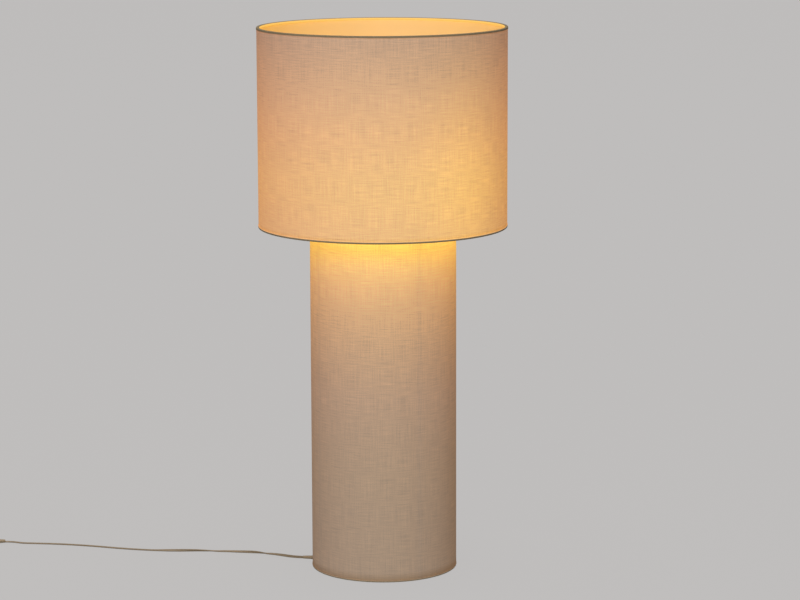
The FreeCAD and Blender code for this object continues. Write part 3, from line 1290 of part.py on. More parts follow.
os.makedirs("parts", exist_ok=True)
for part in SUB_PARTS:
    part.Shape.exportStep(f"parts/{part.Label}.step")
print(f"{len(SUB_PARTS)} sub-parts")
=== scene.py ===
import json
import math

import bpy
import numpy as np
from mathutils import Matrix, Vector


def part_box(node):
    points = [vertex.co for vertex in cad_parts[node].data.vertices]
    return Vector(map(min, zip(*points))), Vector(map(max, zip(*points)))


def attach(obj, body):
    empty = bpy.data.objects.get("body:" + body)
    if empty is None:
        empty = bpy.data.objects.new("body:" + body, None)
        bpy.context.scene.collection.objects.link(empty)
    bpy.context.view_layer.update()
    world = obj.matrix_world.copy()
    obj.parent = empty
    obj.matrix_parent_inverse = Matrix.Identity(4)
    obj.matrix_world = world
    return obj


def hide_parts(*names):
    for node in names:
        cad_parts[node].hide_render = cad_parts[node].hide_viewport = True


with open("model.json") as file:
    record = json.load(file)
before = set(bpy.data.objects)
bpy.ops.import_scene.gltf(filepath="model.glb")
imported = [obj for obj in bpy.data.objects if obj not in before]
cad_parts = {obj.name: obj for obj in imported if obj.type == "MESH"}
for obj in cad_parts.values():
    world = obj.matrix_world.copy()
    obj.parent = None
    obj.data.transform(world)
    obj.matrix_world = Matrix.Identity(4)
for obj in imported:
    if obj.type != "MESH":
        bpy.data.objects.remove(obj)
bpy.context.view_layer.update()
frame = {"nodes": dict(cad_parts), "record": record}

# %% [markdown]
# Column floor lamp
#
# The lamp is a lit drum shade over a narrower fabric column, and a flat lead that runs off over
# the floor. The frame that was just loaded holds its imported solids, in metres, with the origin on
# the floor under the lamp's axis, +Z up and -Y towards the viewer. This file dresses them: cloth,
# rolled edges, lead and bulb are new meshes, and the hard pieces keep their solids and get
# finishes.

MM = 0.001

# %% [markdown]
# Camera
#
# A long lens from five and a half metres away gives the photograph's flat perspective. The camera
# looks down by ten degrees and turns by a third of a degree. A look-at constraint could aim it,
# but a matrix built from the three turns also holds the small roll.

# %% Camera
IMAGE_WIDTH = 800
FOCAL_PIXELS = 2832.5
SENSOR_WIDTH = 36.0
CAMERA_PLACE = Vector((0.0, -5.6272, 1.5237))
YAW, PITCH, ROLL = (math.radians(degrees) for degrees in (0.3429, 9.8282, -0.1952))

forward = Vector((math.sin(YAW) * math.cos(PITCH), math.cos(YAW) * math.cos(PITCH),
                  -math.sin(PITCH)))
level = Vector((math.cos(YAW), -math.sin(YAW), 0))
upright = level.cross(forward)
across = math.cos(ROLL) * level + math.sin(ROLL) * upright
above = math.cos(ROLL) * upright - math.sin(ROLL) * level
turned_axes = Matrix((across, above, -forward)).transposed().to_4x4()

camera_data = bpy.data.cameras.new("camera")
camera_data.sensor_fit = "HORIZONTAL"
camera_data.sensor_width = SENSOR_WIDTH
camera_data.lens = SENSOR_WIDTH * FOCAL_PIXELS / IMAGE_WIDTH
camera_data.clip_end = 200.0
camera = bpy.data.objects.new("camera", camera_data)
camera.matrix_world = Matrix.Translation(CAMERA_PLACE) @ turned_axes
bpy.context.scene.collection.objects.link(camera)
bpy.context.scene.camera = camera
bpy.context.scene.view_settings.view_transform = "Standard"
print(f"camera: {camera_data.lens:.1f} mm lens")

# %% [markdown]
# Colours and nodes
#
# Colours are written as the sRGB hex values that a picture shows, and one function turns them to
# the linear values that shaders mix. Another adds a node with its settings and links in one line,
# so that a material reads like a recipe.

# %% Helpers for materials


def linear(code, alpha=1.0):
    """An sRGB hex colour as linear values.

    Each channel c becomes c / 12.92 under 0.04045, and else ((c + 0.055) / 1.055)^2.4.
    """
    values = np.array([int(code[place:place + 2], 16) / 255 for place in (1, 3, 5)])
    low, high = values / 12.92, ((values + 0.055) / 1.055) ** 2.4
    return (*np.where(values <= 0.04045, low, high).tolist(), alpha)


def add(tree, kind, inputs=None, **settings):
    """Adds a node. settings are its own properties; inputs are socket values or links."""
    node = tree.nodes.new("ShaderNode" + kind)
    for name, value in settings.items():
        setattr(node, name, value)
    for name, value in (inputs or {}).items():
        if isinstance(value, bpy.types.NodeSocket):
            tree.links.new(value, node.inputs[name])
        else:
            node.inputs[name].default_value = value
    return node


def calculate(tree, operation, first, second=0.0, third=0.0):
    """The output of one Math node."""
    return add(tree, "Math", {0: first, 1: second, 2: third}, operation=operation).outputs[0]


def bell(tree, value, centre, width):
    """exp(-((value - centre) / width)^2), a soft bump of height 1."""
    off = calculate(tree, "DIVIDE", calculate(tree, "SUBTRACT", value, centre), width)
    square = calculate(tree, "MULTIPLY", off, off)
    return calculate(tree, "EXPONENT", calculate(tree, "MULTIPLY", square, -1.0))


def scaled(tree, colour, factor):
    """A colour times a number."""
    inputs = {"Vector": colour, "Scale": factor}
    return add(tree, "VectorMath", inputs, operation="SCALE").outputs[0]


def ramp(tree, factor, stops):
    """The colour output of a ramp with (place, linear colour) stops."""
    node = add(tree, "ValToRGB", {"Fac": factor})
    elements = node.color_ramp.elements
    while len(elements) < len(stops):
        elements.new(1.0)
    for element, (place, colour) in zip(elements, stops):
        element.position = place
        element.color = colour
    return node.outputs["Color"]


def noise(tree, vector, scale, detail=2.0):
    """Noise from 0 to 1 of one scale per axis, in cells per metre."""
    stretched = add(tree, "Mapping", {"Vector": vector, "Scale": scale}).outputs["Vector"]
    inputs = {"Vector": stretched, "Scale": 1.0, "Detail": detail}
    return add(tree, "TexNoise", inputs).outputs["Fac"]


def new_material(name, **sockets):
    """A material with one Principled shader, its sockets set to plain values."""
    material = bpy.data.materials.new(name)
    material.use_nodes = True
    shader = material.node_tree.nodes["Principled BSDF"]
    for socket, value in sockets.items():
        shader.inputs[socket.replace("_", " ")].default_value = value
    return material, material.node_tree, shader


def bumped(tree, shader, height, depth, strength=1.0):
    """Gives a shader a bump of a real depth in metres."""
    node = add(tree, "Bump", {"Height": height, "Strength": strength, "Distance": depth})
    tree.links.new(node.outputs["Normal"], shader.inputs["Normal"])


# %% [markdown]
# Surfaces worked out with numpy
#
# Every new piece is a grid of points, worked out as one array, that closes in one direction or in
# both. Blender's Screw or Solidify modifiers could make the same walls, but a grid gives each
# point its own radius, which the cloth's lapped seam needs, and a map in real metres.

# %% Helpers for meshes


def surface(name, points, row_map, column_map, ends=None):
    """A mesh from points (rows, columns, 3): columns close on themselves, rows do too or get ends.

    The maps hold the two coordinates of the surface in metres, with one value more than the grid
    has in a closed direction. ends is None for closed rows, or the two pole points. Faces look
    outwards where the step to the next column crossed with the step to the next row does.
    """
    rows, columns = points.shape[:2]
    closed = ends is None
    row, column = np.meshgrid(np.arange(rows if closed else rows - 1), np.arange(columns),
                              indexing="ij")
    next_row, next_column = (row + 1) % rows, (column + 1) % columns
    faces = np.stack([row * columns + column, row * columns + next_column,
                      next_row * columns + next_column, next_row * columns + column], -1)
    faces = faces.reshape(-1, 4).tolist()
    row_at = np.stack([row, row, row + 1, row + 1], -1).reshape(-1)
    column_at = np.stack([column, column + 1, column + 1, column], -1).reshape(-1)
    vertices = points.reshape(-1, 3)
    if not closed:
        vertices = np.vstack([vertices, np.asarray(ends)])
        step, last = np.arange(columns), (rows - 1) * columns
        pole = np.full(columns, rows * columns)
        after = (step + 1) % columns
        faces += np.stack([after, step, pole], -1).tolist()
        faces += np.stack([last + step, last + after, pole + 1], -1).tolist()
        row_at = np.concatenate([row_at, np.repeat([0, rows - 1], 3 * columns)])
        column_at = np.concatenate([column_at, np.stack([step + 1, step, step], -1).reshape(-1),
                                    np.stack([step, step + 1, step], -1).reshape(-1)])
    mesh = bpy.data.meshes.new(name)
    mesh.from_pydata(vertices.tolist(), [], faces)
    uv = np.stack([np.asarray(column_map)[column_at], np.asarray(row_map)[row_at]], -1)
    mesh.uv_layers.new(name="UVMap").data.foreach_set("uv", uv.astype(np.float32).reshape(-1))
    mesh.polygons.foreach_set("use_smooth", np.ones(len(mesh.polygons), bool))
    mesh.update()
    piece = bpy.data.objects.new(name, mesh)
    bpy.context.scene.collection.objects.link(piece)
    return piece


def finish_piece(piece, material, body, slot, *nodes):
    """Gives a new piece its finish and its body, and hides the nodes that it stands for.

    slot is not used.
    """
    piece.data.materials.append(material)
    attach(piece, body)
    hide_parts(*nodes)
    print(f"{piece.name}: {len(piece.data.polygons)} faces")


def length_of(path):
    """The length of a line of points."""
    return float(np.linalg.norm(np.diff(path, axis=0), axis=1).sum())


def eased(value):
    """A smooth step from 0 to 1: 3 v^2 - 2 v^3, for v held between 0 and 1."""
    held = np.clip(value, 0, 1)
    return held * held * (3 - 2 * held)


# %% [markdown]
# The lead's finish
#
# The lead is a flat twin one: two cores side by side in a taupe PVC sheath. Extruded PVC is
# smooth and a little glossy, with faint lines along its length from the die. The mesh's own map
# runs along the lead, so the lines follow its bends, which Object coordinates couldn't do.

# %% Sheath material
sheath, tree, shader = new_material("extruded_pvc_taupe", Roughness=0.42, IOR=1.52)
lead_map = add(tree, "UVMap", uv_map="UVMap").outputs["UV"]
# Die lines lie about 0.6 mm apart round the sheath and fade over 40 mm along it.
die_lines = noise(tree, lead_map, (1600, 25, 1))
sheath_colour = ramp(tree, die_lines, [(0.3, linear("#9a856a")), (0.7, linear("#b39d7d"))])
tree.links.new(sheath_colour, shader.inputs["Base Color"])
bumped(tree, shader, die_lines, 0.1 * MM, strength=0.15)
print("material:", sheath.name)

# %% [markdown]
# The lead's way
#
# The lead drops from its strain relief to the floor and runs in slow curves to the foot switch.
# Its line is a NURBS spline with the route's points as control points, which bends as softly as
# real lead. The flat section is then carried along that line by hand, because a curve's own
# bevel can't twist it: near the lamp the lead stands on edge, then turns over once and lies flat.

# %% Route from the lamp to the foot switch
LEAD_WIDTH, LEAD_THICKNESS = 5.4 * MM, 2.8 * MM
RELIEF_TIP = np.array([-0.16695, 0.0205, LEAD_WIDTH / 2])
LEAD_TO_SWITCH = RELIEF_TIP + np.array([
    (0.0, 0.0, 7.3), (-11.9, 1.5, 7.3), (-25.6, 7.6, 7.1), (-39.6, 18.9, 6.3), (-54.5, 33.8, 4.9),
    (-72.3, 49.8, 3.0), (-96.5, 63.8, 1.2), (-129.8, 74.6, 0.1), (-171.0, 82.6, 0.0),
    (-216.8, 86.6, 0.0), (-262.8, 85.8, 0.0), (-304.5, 90.9, 0.0), (-347.6, 99.7, 0.0),
    (-390.1, 111.1, 0.0), (-433.5, 126.4, 0.0), (-477.7, 139.1, 0.0), (-522.7, 148.7, 0.0),
    (-566.4, 154.1, 0.0), (-594.4, 155.9, 0.3), (-608.4, 156.3, 2.0), (-620.4, 156.4, 3.3),
    (-632.6, 156.4, 3.3)]) * MM
print(len(LEAD_TO_SWITCH), "control points from the lamp to the foot switch")


def spline_points(name, controls):
    """Even points on the quadratic NURBS line of the control points, read from Blender's curve."""
    curve = bpy.data.curves.new(name, "CURVE")
    curve.dimensions = "3D"
    spline = curve.splines.new("NURBS")
    spline.points.add(len(controls) - 1)
    spline.points.foreach_set("co", np.hstack([controls, np.ones((len(controls), 1))]).reshape(-1))
    spline.use_endpoint_u = True
    spline.order_u = 3
    holder = bpy.data.objects.new(name, curve)
    bpy.context.scene.collection.objects.link(holder)
    line = bpy.data.meshes.new_from_object(holder)
    found = np.empty(len(line.vertices) * 3)
    line.vertices.foreach_get("co", found)
    bpy.data.objects.remove(holder)
    return found.reshape(-1, 3)


def spaced(points, step):
    """The same line with points an even step apart, and their lengths from its start."""
    length = np.concatenate([[0], np.cumsum(np.linalg.norm(np.diff(points, axis=0), axis=1))])
    wanted = np.linspace(0, length[-1], int(length[-1] / step) + 1)
    return np.stack([np.interp(wanted, length, points[:, axis]) for axis in range(3)], -1), wanted


# %% Section of the flat twin lead
SECTION_POINTS = 20
WAIST = 0.68
RING_STEP = 2.0 * MM


def twin_section():
    """Outline of two round cores side by side: radius c |cos t| + sqrt(r^2 - (c sin t)^2).

    c is half the distance between the cores and r a core's radius. Between the cores the
    outline keeps to WAIST of a core's radius, so its own radius there is WAIST r / |sin t|.
    """
    turn = -np.arange(SECTION_POINTS) / SECTION_POINTS * 2 * np.pi
    core = LEAD_THICKNESS / 2
    off = LEAD_WIDTH / 2 - core
    lobes = off * np.abs(np.cos(turn)) + np.sqrt(core**2 - (off * np.sin(turn))**2)
    waist = WAIST * core / np.maximum(np.abs(np.sin(turn)), 0.05)
    between = (waist * np.abs(np.cos(turn)) < off) & (waist > lobes)
    radius = np.where(between, waist, lobes)
    return np.stack([radius * np.cos(turn), radius * np.sin(turn)], -1)


def flat_lead(name, line, twist=None, side=None):
    """The lead's section carried along a line: point = line + x(s) side + y(s) up.

    side lies level and square to the line, or is a fixed direction, and up is square to both.
    twist turns both, as an angle for each length s. A twisted lead is lowered until it rests
    where a round lead of the same width would.
    """
    middle, length = spaced(line, RING_STEP)
    ahead = np.gradient(middle, axis=0)
    ahead /= np.linalg.norm(ahead, axis=1, keepdims=True)
    flat = np.cross(ahead, (0, 0, 1.0)) if side is None else np.tile(side, (len(ahead), 1))
    flat /= np.linalg.norm(flat, axis=1, keepdims=True)
    raised = np.cross(flat, ahead)
    angle = (twist(length) if twist else 0 * length)[:, None]
    turned = flat * np.cos(angle) + raised * np.sin(angle)
    up = raised * np.cos(angle) - flat * np.sin(angle)
    section = twin_section()
    rings = section[:, :1] * turned[:, None] + section[:, 1:] * up[:, None]
    if twist:
        clear = rings[..., 2].min(axis=1) + LEAD_WIDTH / 2
        middle = middle - np.array([0, 0, 1.0]) * clear[:, None]
    girth = 2 * LEAD_WIDTH + 0.8 * LEAD_THICKNESS
    round_section = np.linspace(0, girth, SECTION_POINTS + 1)
    piece = surface(name, middle[:, None] + rings, length, round_section,
                    ends=(middle[0], middle[-1]))
    return piece, middle


# %% Lead from the lamp to the foot switch
# Turns of the flat lead: length from the lamp in mm, and the angle of its width to the floor.
TWISTS = np.array([(0, 110), (18, 90), (45, 60), (95, 0), (125, -90), (155, -140), (205, -180),
                   (265, -265), (340, -360), (700, -360)])
TWIST_EASE = np.linspace(-12, 12, 9) * MM


def twist_near_lamp(length):
    """The twist angle, eased between its stations with a running mean over 24 mm."""
    lengths, angles = TWISTS[:, 0] * MM, np.radians(TWISTS[:, 1])
    return np.mean([np.interp(length + shift, lengths, angles) for shift in TWIST_EASE], axis=0)


lead_a, lead_a_path = flat_lead("lead_lamp_to_switch", spline_points("lead_line", LEAD_TO_SWITCH),
                                twist=twist_near_lamp)
finish_piece(lead_a, sheath, "lamp", "lead_sheath", "lead_to_switch")
print(f"lead from lamp to foot switch: {length_of(lead_a_path):.3f} m")

# %% [markdown]
# The wound end of the lead
#
# The photograph doesn't show where the lead ends, so its second half is put away just outside
# the picture: out of the foot switch, round a neat coil of two flat layers held by a band, and on
# to the plug. A spiral that shrinks by a lead's width each turn, climbs, and grows again gives
# the coil in one unbroken line. A simulation could drop the lead in loops, but not as tidily.

# %% Route from the foot switch to the plug
COIL_CENTRE = np.array([-0.92005, 0.1245])
COIL_TURNS, COIL_OUTER, COIL_PITCH = 5.25, 38.0 * MM, 6.1 * MM
COIL_LOW, COIL_HIGH = 2.0 * MM, 4.9 * MM
TURNS_DOWN = COIL_TURNS / 2 - 0.25
FROM_SWITCH = RELIEF_TIP + np.array([
    (-736.6, 156.4, 3.3), (-746.6, 156.4, 3.3), (-762.9, 153.4, 1.2), (-777.1, 144.5, 0.0),
    (-786.9, 132.5, -0.6), (-791.5, 119.5, -0.7)]) * MM
TO_PLUG = RELIEF_TIP + np.array([
    (-747.7, 65.9, 2.2), (-739.0, 65.7, 2.4), (-726.0, 66.6, 3.4), (-713.0, 68.0, 4.15),
    (-702.6, 68.0, 4.15)]) * MM
coil_width = 2 * COIL_OUTER + LEAD_WIDTH
print(f"coil: {COIL_TURNS} turns in two layers, {coil_width / MM:.0f} mm across")


def coil_points(per_turn=16):
    """Spiral in, half a turn of climb, spiral out: radius = inner + pitch * turns from the climb.

    In the climb the radius dips by pitch / 2 pi * sin(2 pi c) and the height rises by
    (1 - cos(2 pi c)) / 2 of the step between the layers, for c turns of the half turn.
    """
    turns = np.arange(0, COIL_TURNS + 0.5 / per_turn, 1 / per_turn)
    climb = turns - TURNS_DOWN
    climbing = (climb > 0) & (climb < 0.5)
    dip = -COIL_PITCH / (2 * np.pi) * np.sin(2 * np.pi * climb)
    radius = COIL_OUTER - TURNS_DOWN * COIL_PITCH + np.where(
        climbing, dip, np.maximum(-climb, climb - 0.5) * COIL_PITCH)
    rise = np.where(climbing, (1 - np.cos(2 * np.pi * climb)) / 2, climb >= 0.5)
    angle = np.pi + 2 * np.pi * turns
    place = COIL_CENTRE + radius[:, None] * np.stack([np.cos(angle), np.sin(angle)], -1)
    return np.column_stack([place, COIL_LOW + rise * (COIL_HIGH - COIL_LOW)])


coil_line = spline_points("coil_line", np.vstack([FROM_SWITCH, coil_points(), TO_PLUG]))
lead_b, lead_b_path = flat_lead("lead_switch_to_plug", coil_line)
finish_piece(lead_b, sheath, "lamp", "lead_sheath", "lead_to_coil", "lead_coil", "lead_to_plug")

# %% [markdown]
# Band round the coil
#
# A soft black band holds the three turns of each layer. It is a loop of flat strip: its middle
# line is a rounded rectangle, |x / a|^4 + |z / b|^4 = 1, that just clears the stacked lead.

# %% Band
tie_material, tree, shader = new_material("soft_pvc_black", Roughness=0.6)
shader.inputs["Base Color"].default_value = linear("#1d1d1f")
bumped(tree, shader, noise(tree, add(tree, "TexCoord").outputs["Object"], (2500,) * 3), 0.05 * MM)

TIE_ANGLE = math.radians(225)
TIE_MIDDLE = (31.14 * MM, 3.45 * MM)
TIE_REACH = (9.55 * MM, 3.3 * MM)
TIE_WIDTH, TIE_WALL = 7.0 * MM, 0.5 * MM


def tie_points(steps=64):
    """Rows run round the loop, columns round the strip's small rectangular section."""
    turn = np.arange(steps) / steps * 2 * np.pi
    rounded = np.stack([np.sign(np.cos(turn)) * np.sqrt(np.abs(np.cos(turn))),
                        np.sign(np.sin(turn)) * np.sqrt(np.abs(np.sin(turn)))], -1)
    corners = np.array([(-0.5, -0.5), (0.5, -0.5), (0.5, 0.5), (-0.5, 0.5)])
    reach = np.array(TIE_REACH) + corners[:, 1:] * TIE_WALL
    loop = np.array(TIE_MIDDLE) + rounded[:, None] * reach[None]
    aside = np.broadcast_to(corners[:, 0] * TIE_WIDTH, loop.shape[:2])
    out, round_way = (np.array([math.cos(TIE_ANGLE + quarter), math.sin(TIE_ANGLE + quarter)])
                      for quarter in (0, math.pi / 2))
    level = COIL_CENTRE + loop[..., :1] * out + aside[..., None] * round_way
    return np.concatenate([level, loop[..., 1:]], -1)


tie_loop = tie_points()
round_loop = np.linspace(0, 50, len(tie_loop) + 1) * MM
round_strip = np.array([0, 7, 7.5, 14.5, 15]) * MM
tie = surface("lead_band", tie_loop, round_loop, round_strip)
tie.data.polygons.foreach_set("use_smooth", np.zeros(len(tie.data.polygons), bool))
finish_piece(tie, tie_material, "lamp", "tie_plastic", "lead_tie")
print(f"lead from foot switch to plug: {length_of(lead_b_path):.3f} m")

# %% [markdown]
# The lead inside the lamp
#
# From the grommet the same lead runs under the weight, bends up into the stem and rises through
# the hollow nipple to the lampholder. It bends over its flat side, so its width stays square to
# the plane of the bend. It is hidden, but the column's top opening looks down on it.

# %% Inner lead
LEAD_HEIGHT = 10.0 * MM
LEAD_AZIMUTH = math.radians(173)
lead_direction = np.array([math.cos(LEAD_AZIMUTH), math.sin(LEAD_AZIMUTH), 0])
inner_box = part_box("inner_lead")
# Distances from the axis under the weight, then heights in the stem, in metres.
stations_out = (inner_box[0][0] / lead_direction[0], 0.09, 0.034, 0.0)
stations_up = (0.044, 0.2, inner_box[1][2])
inner_route = np.array([*(lead_direction * away + (0, 0, LEAD_HEIGHT) for away in stations_out),
                        *((0, 0, height) for height in stations_up)])
inner_lead, inner_path = flat_lead("lead_inside", spline_points("inner_line", inner_route),
                                   side=np.cross(lead_direction, (0, 0, 1.0)))
finish_piece(inner_lead, sheath, "lamp", "lead_sheath", "inner_lead")
print(f"lead inside the lamp: {length_of(inner_path):.3f} m")

# %% [markdown]
# The woven cover's finish
#
# Shade and column share one plain-woven beige cloth. Its threads show as fine horizontal streaks
# with thinner upright ones, a few thick slubs, and slow mottling. All of it is noise stretched
# over the mesh's map in metres, which keeps thread sizes real at any zoom, where a picture of
# cloth would blur. The crossing threads are a bump, sin u sin v.

# %% Threads of the cloth
CLOTH = "#cec1b7"
# Real threads lie 0.45 mm apart. They are drawn at 0.9 mm so that the weave still shows.
THREAD = 0.9 * MM
# Cells per metre round the strip and up it. A real streak is one thread wide. Here it is 1.9 mm
# wide and 36 to 56 mm long, coarser than real, so that it shows from where the camera stands.
WEFT_CELLS, WARP_CELLS, SLUB_CELLS = (28, 520, 1), (520, 18, 1), (18, 520, 1)
FUZZ_CELLS, MOTTLING_CELLS = (600, 600, 1), (9, 12, 1)
print(f"threads drawn {THREAD / MM:.1f} mm apart, streaks {1000 / WEFT_CELLS[1]:.1f} mm")


def threads(tree, cloth_map):
    """Brightness of the threads and height of the weave, both from about 0 to 1.

    brightness = 0.40 weft + 0.32 warp + 0.22 fuzz + 0.06 mottling, less 0.06 in a slub
    height = 0.65 weft + 0.35 sin(pi x / thread) sin(pi y / thread)
    """
    weft = noise(tree, cloth_map, WEFT_CELLS, detail=1.0)
    warp = noise(tree, cloth_map, WARP_CELLS, detail=1.0)
    fuzz = noise(tree, cloth_map, FUZZ_CELLS, detail=0.0)
    mottling = noise(tree, cloth_map, MOTTLING_CELLS, detail=1.0)
    thick = calculate(tree, "GREATER_THAN", noise(tree, cloth_map, SLUB_CELLS, detail=0.0), 0.72)
    brightness = calculate(tree, "MULTIPLY", warp, 0.32)
    for part, share in ((weft, 0.40), (fuzz, 0.22), (mottling, 0.06), (thick, -0.06)):
        brightness = calculate(tree, "MULTIPLY_ADD", part, share, brightness)
    parts = add(tree, "SeparateXYZ", {"Vector": cloth_map})
    angles = [calculate(tree, "MULTIPLY", parts.outputs[axis], math.pi / THREAD) for axis in "XY"]
    waves = [calculate(tree, "SINE", angle) for angle in angles]
    crossing = calculate(tree, "MULTIPLY", waves[0], waves[1])
    raised = calculate(tree, "MULTIPLY", weft, 0.65)
    return brightness, calculate(tree, "MULTIPLY_ADD", crossing, 0.35, raised)


# %% Cloth material
# The threads' share in the cloth's colour and in the light through it, and what each has without.
COLOUR_SHARE, COLOUR_LEAST = 0.62, 0.69
LIGHT_SHARE, LIGHT_LEAST = 1.6, 0.19


def azimuth_and_height(tree):
    """The angle round the axis from the front towards +X, and the height in metres."""
    place = add(tree, "SeparateXYZ", {"Vector": add(tree, "TexCoord").outputs["Object"]})
    toward = calculate(tree, "MULTIPLY", place.outputs["Y"], -1.0)
    return calculate(tree, "ARCTAN2", place.outputs["X"], toward), place.outputs["Z"]


def lit_cloth(name, glow):
    """Woven cloth lit from behind: glow(tree, azimuth, height) is the light that comes through."""
    material, tree, shader = new_material(name, Roughness=0.9, Specular_IOR_Level=0.05)
    cloth_map = add(tree, "UVMap", uv_map="UVMap").outputs["UV"]
    brightness, relief = threads(tree, cloth_map)
    factor = calculate(tree, "MULTIPLY_ADD", brightness, COLOUR_SHARE, COLOUR_LEAST)
    tree.links.new(scaled(tree, linear(CLOTH)[:3], factor), shader.inputs["Base Color"])
    bumped(tree, shader, relief, 0.12 * MM, strength=0.5)
    through = calculate(tree, "MULTIPLY_ADD", brightness, LIGHT_SHARE, LIGHT_LEAST)
    light = scaled(tree, glow(tree, *azimuth_and_height(tree)), through)
    tree.links.new(light, shader.inputs["Emission Color"])
    shader.inputs["Emission Strength"].default_value = 1.0
    print("material:", material.name)
    return material


# %% [markdown]
# Light through the shade and the column
#
# The bulb stands low in the shade, so the cloth glows most near the shade's bottom edge and at
# the column's top, and the light fades upwards and downwards in smooth exponential curves. Its
# colour is filtered by cloth and liner to a deep orange that adds to the cloth's own beige.
# Worked out by a path tracer through two thin walls it would be noisy, so it is a formula of
# height and azimuth, which the shaders emit.

# %% Helpers for the glow


def add_colours(tree, first, second):
    """The sum of two colours."""
    return add(tree, "VectorMath", {0: first, 1: second}, operation="ADD").outputs[0]


def side_bell(tree, azimuth, centre, width):
    """A soft bump of height 1 round one azimuth, with centre and width in degrees."""
    return bell(tree, azimuth, math.radians(centre), math.radians(width))


def reddened(tree, colour, azimuth, centre, width, loss):
    """Takes green and blue out of a colour, by up to loss, away from one azimuth.

    Light that leaves at a slant has come through more cloth: kept = 1 - loss + loss side_bell.
    """
    kept = calculate(tree, "MULTIPLY_ADD", side_bell(tree, azimuth, centre, width), loss, 1 - loss)
    tint = add(tree, "CombineXYZ", {"X": 1.0, "Y": kept, "Z": kept}).outputs[0]
    return add(tree, "VectorMath", {0: colour, 1: tint}, operation="MULTIPLY").outputs[0]


# %% Glow of the shade
SHADE_TINTS = [(0.09, (1, 0.480, 0.036, 1)), (0.21, (1, 0.492, 0.032, 1)),
               (0.31, (1, 0.490, 0.035, 1)), (0.50, (1, 0.455, 0.045, 1)),
               (0.69, (1, 0.446, 0.062, 1)), (0.96, (1, 0.435, 0.075, 1))]
SHADE_SPOT = (0.165, 0.100, 0.0)


def shade_glow(tree, azimuth, height):
    """Fades away from the bulb's height and a little to the sides, with a warm spot at the right.

    light = exp(-((z - 0.790) / 0.345)^2) (0.518 + 0.086 side_bell) tint(2.5 z - 1.75) + spot
    """
    fade = bell(tree, height, 0.790, 0.345)
    front = calculate(tree, "MULTIPLY_ADD", side_bell(tree, azimuth, -5, 45), 0.086, 0.518)
    tint = ramp(tree, calculate(tree, "MULTIPLY_ADD", height, 2.5, -1.75), SHADE_TINTS)
    glow = scaled(tree, tint, calculate(tree, "MULTIPLY", fade, front))
    spot = calculate(tree, "MULTIPLY", side_bell(tree, azimuth, 40, 22),
                     bell(tree, height, 0.79, 0.21))
    return add_colours(tree, reddened(tree, glow, azimuth, 5, 60, 0.25),
                       scaled(tree, SHADE_SPOT, spot))


shade_cloth = lit_cloth("lit_woven_cotton_shade", shade_glow)

# %% Glow of the column
COLUMN_TINTS = [(0.10, (1, 0.444, 0.0, 1)), (0.30, (1, 0.455, 0.020, 1)),
                (0.53, (1, 0.455, 0.090, 1)), (0.76, (1, 0.460, 0.062, 1)),
                (0.85, (1, 0.470, 0.050, 1)), (0.906, (1, 0.520, 0.030, 1)),
                (0.963, (1, 0.620, 0.020, 1))]
COLUMN_SPOT = (0.12, 0.06, 0.02)
COLUMN_TOP, COLUMN_REACH = 0.674, 0.175
UPRIGHT_AZIMUTHS = [29 + 90 * index for index in range(-2, 2)]


def column_glow(tree, azimuth, height):
    """Fades down from the top to a faint even glow, with faint shadows of the four uprights.

    light = (0.105 + 0.645 exp((z - top) / reach)) (1 - 0.12 shadows) (0.83 + 0.17 side_bell)
    times tint(z / 0.7), plus a spot.
    """
    depth = calculate(tree, "MULTIPLY_ADD", height, 1 / COLUMN_REACH, -COLUMN_TOP / COLUMN_REACH)
    fade = calculate(tree, "MULTIPLY_ADD", calculate(tree, "EXPONENT", depth), 0.645, 0.105)
    shadows = 0.0
    for upright_azimuth in UPRIGHT_AZIMUTHS:
        shadows = calculate(tree, "ADD", side_bell(tree, azimuth, upright_azimuth, 2.0), shadows)
    fade = calculate(tree, "MULTIPLY", fade, calculate(tree, "MULTIPLY_ADD", shadows, -0.12, 1.0))
    sides = calculate(tree, "MULTIPLY_ADD", side_bell(tree, azimuth, -2, 58), 0.17, 0.83)
    tint = ramp(tree, calculate(tree, "MULTIPLY", height, 1 / 0.7), COLUMN_TINTS)
    glow = scaled(tree, tint, calculate(tree, "MULTIPLY", fade, sides))
    spot = calculate(tree, "MULTIPLY", side_bell(tree, azimuth, 62, 25),
                     bell(tree, height, 0.690, 0.075))
    return add_colours(tree, reddened(tree, glow, azimuth, 0, 50, 0.14),
                       scaled(tree, COLUMN_SPOT, spot))


column_cloth = lit_cloth("lit_woven_cotton_column", column_glow)

# %% [markdown]
# Covers of shade and column
#
# Each cover is one strip of cloth bonded round a stiff liner and lapped over itself at the back.
# The mesh is a thin closed wall whose outside stands proud by the strip's own thickness where it
# laps, with a firm edge on one side of the lap and a soft one where the lower layer begins.

# %% Lap and grid round the axis
AROUND = 360
LAP_WIDTH, LAP_RISE = 12.0 * MM, 0.45 * MM
LAP_EDGE, LAP_FADE = 0.6 * MM, 3.0 * MM


def angles_round(radius):
    """Even angles round the axis, with more of them near the lap at the back."""
    even = np.linspace(0, 2 * np.pi, AROUND, endpoint=False)
    near = np.pi / 2 + np.linspace(-1.4, 1.4, 57) * LAP_WIDTH / radius
    return np.sort(np.concatenate([even[(even < near[0]) | (even > near[-1])], near]))


def round_map(angles, radius):
    """Lengths round the axis for a mesh's map, with one more that closes the circle."""
    return np.append(angles, angles[0] + 2 * np.pi) * radius


def turned_about_axis(radii, angles, heights):
    """Points (r cos a, r sin a, z)."""
    level = radii * np.cos(angles), radii * np.sin(angles)
    return np.stack(np.broadcast_arrays(*level, heights), -1)


def lap(angles, radius):
    """How far the cloth stands proud: a sharp rise, the lapped width, then a softer fall."""
    along = (angles - np.pi / 2) * radius
    return (LAP_RISE * eased((along + LAP_WIDTH / 2) / LAP_EDGE)
            * eased((LAP_WIDTH / 2 - along) / LAP_FADE))


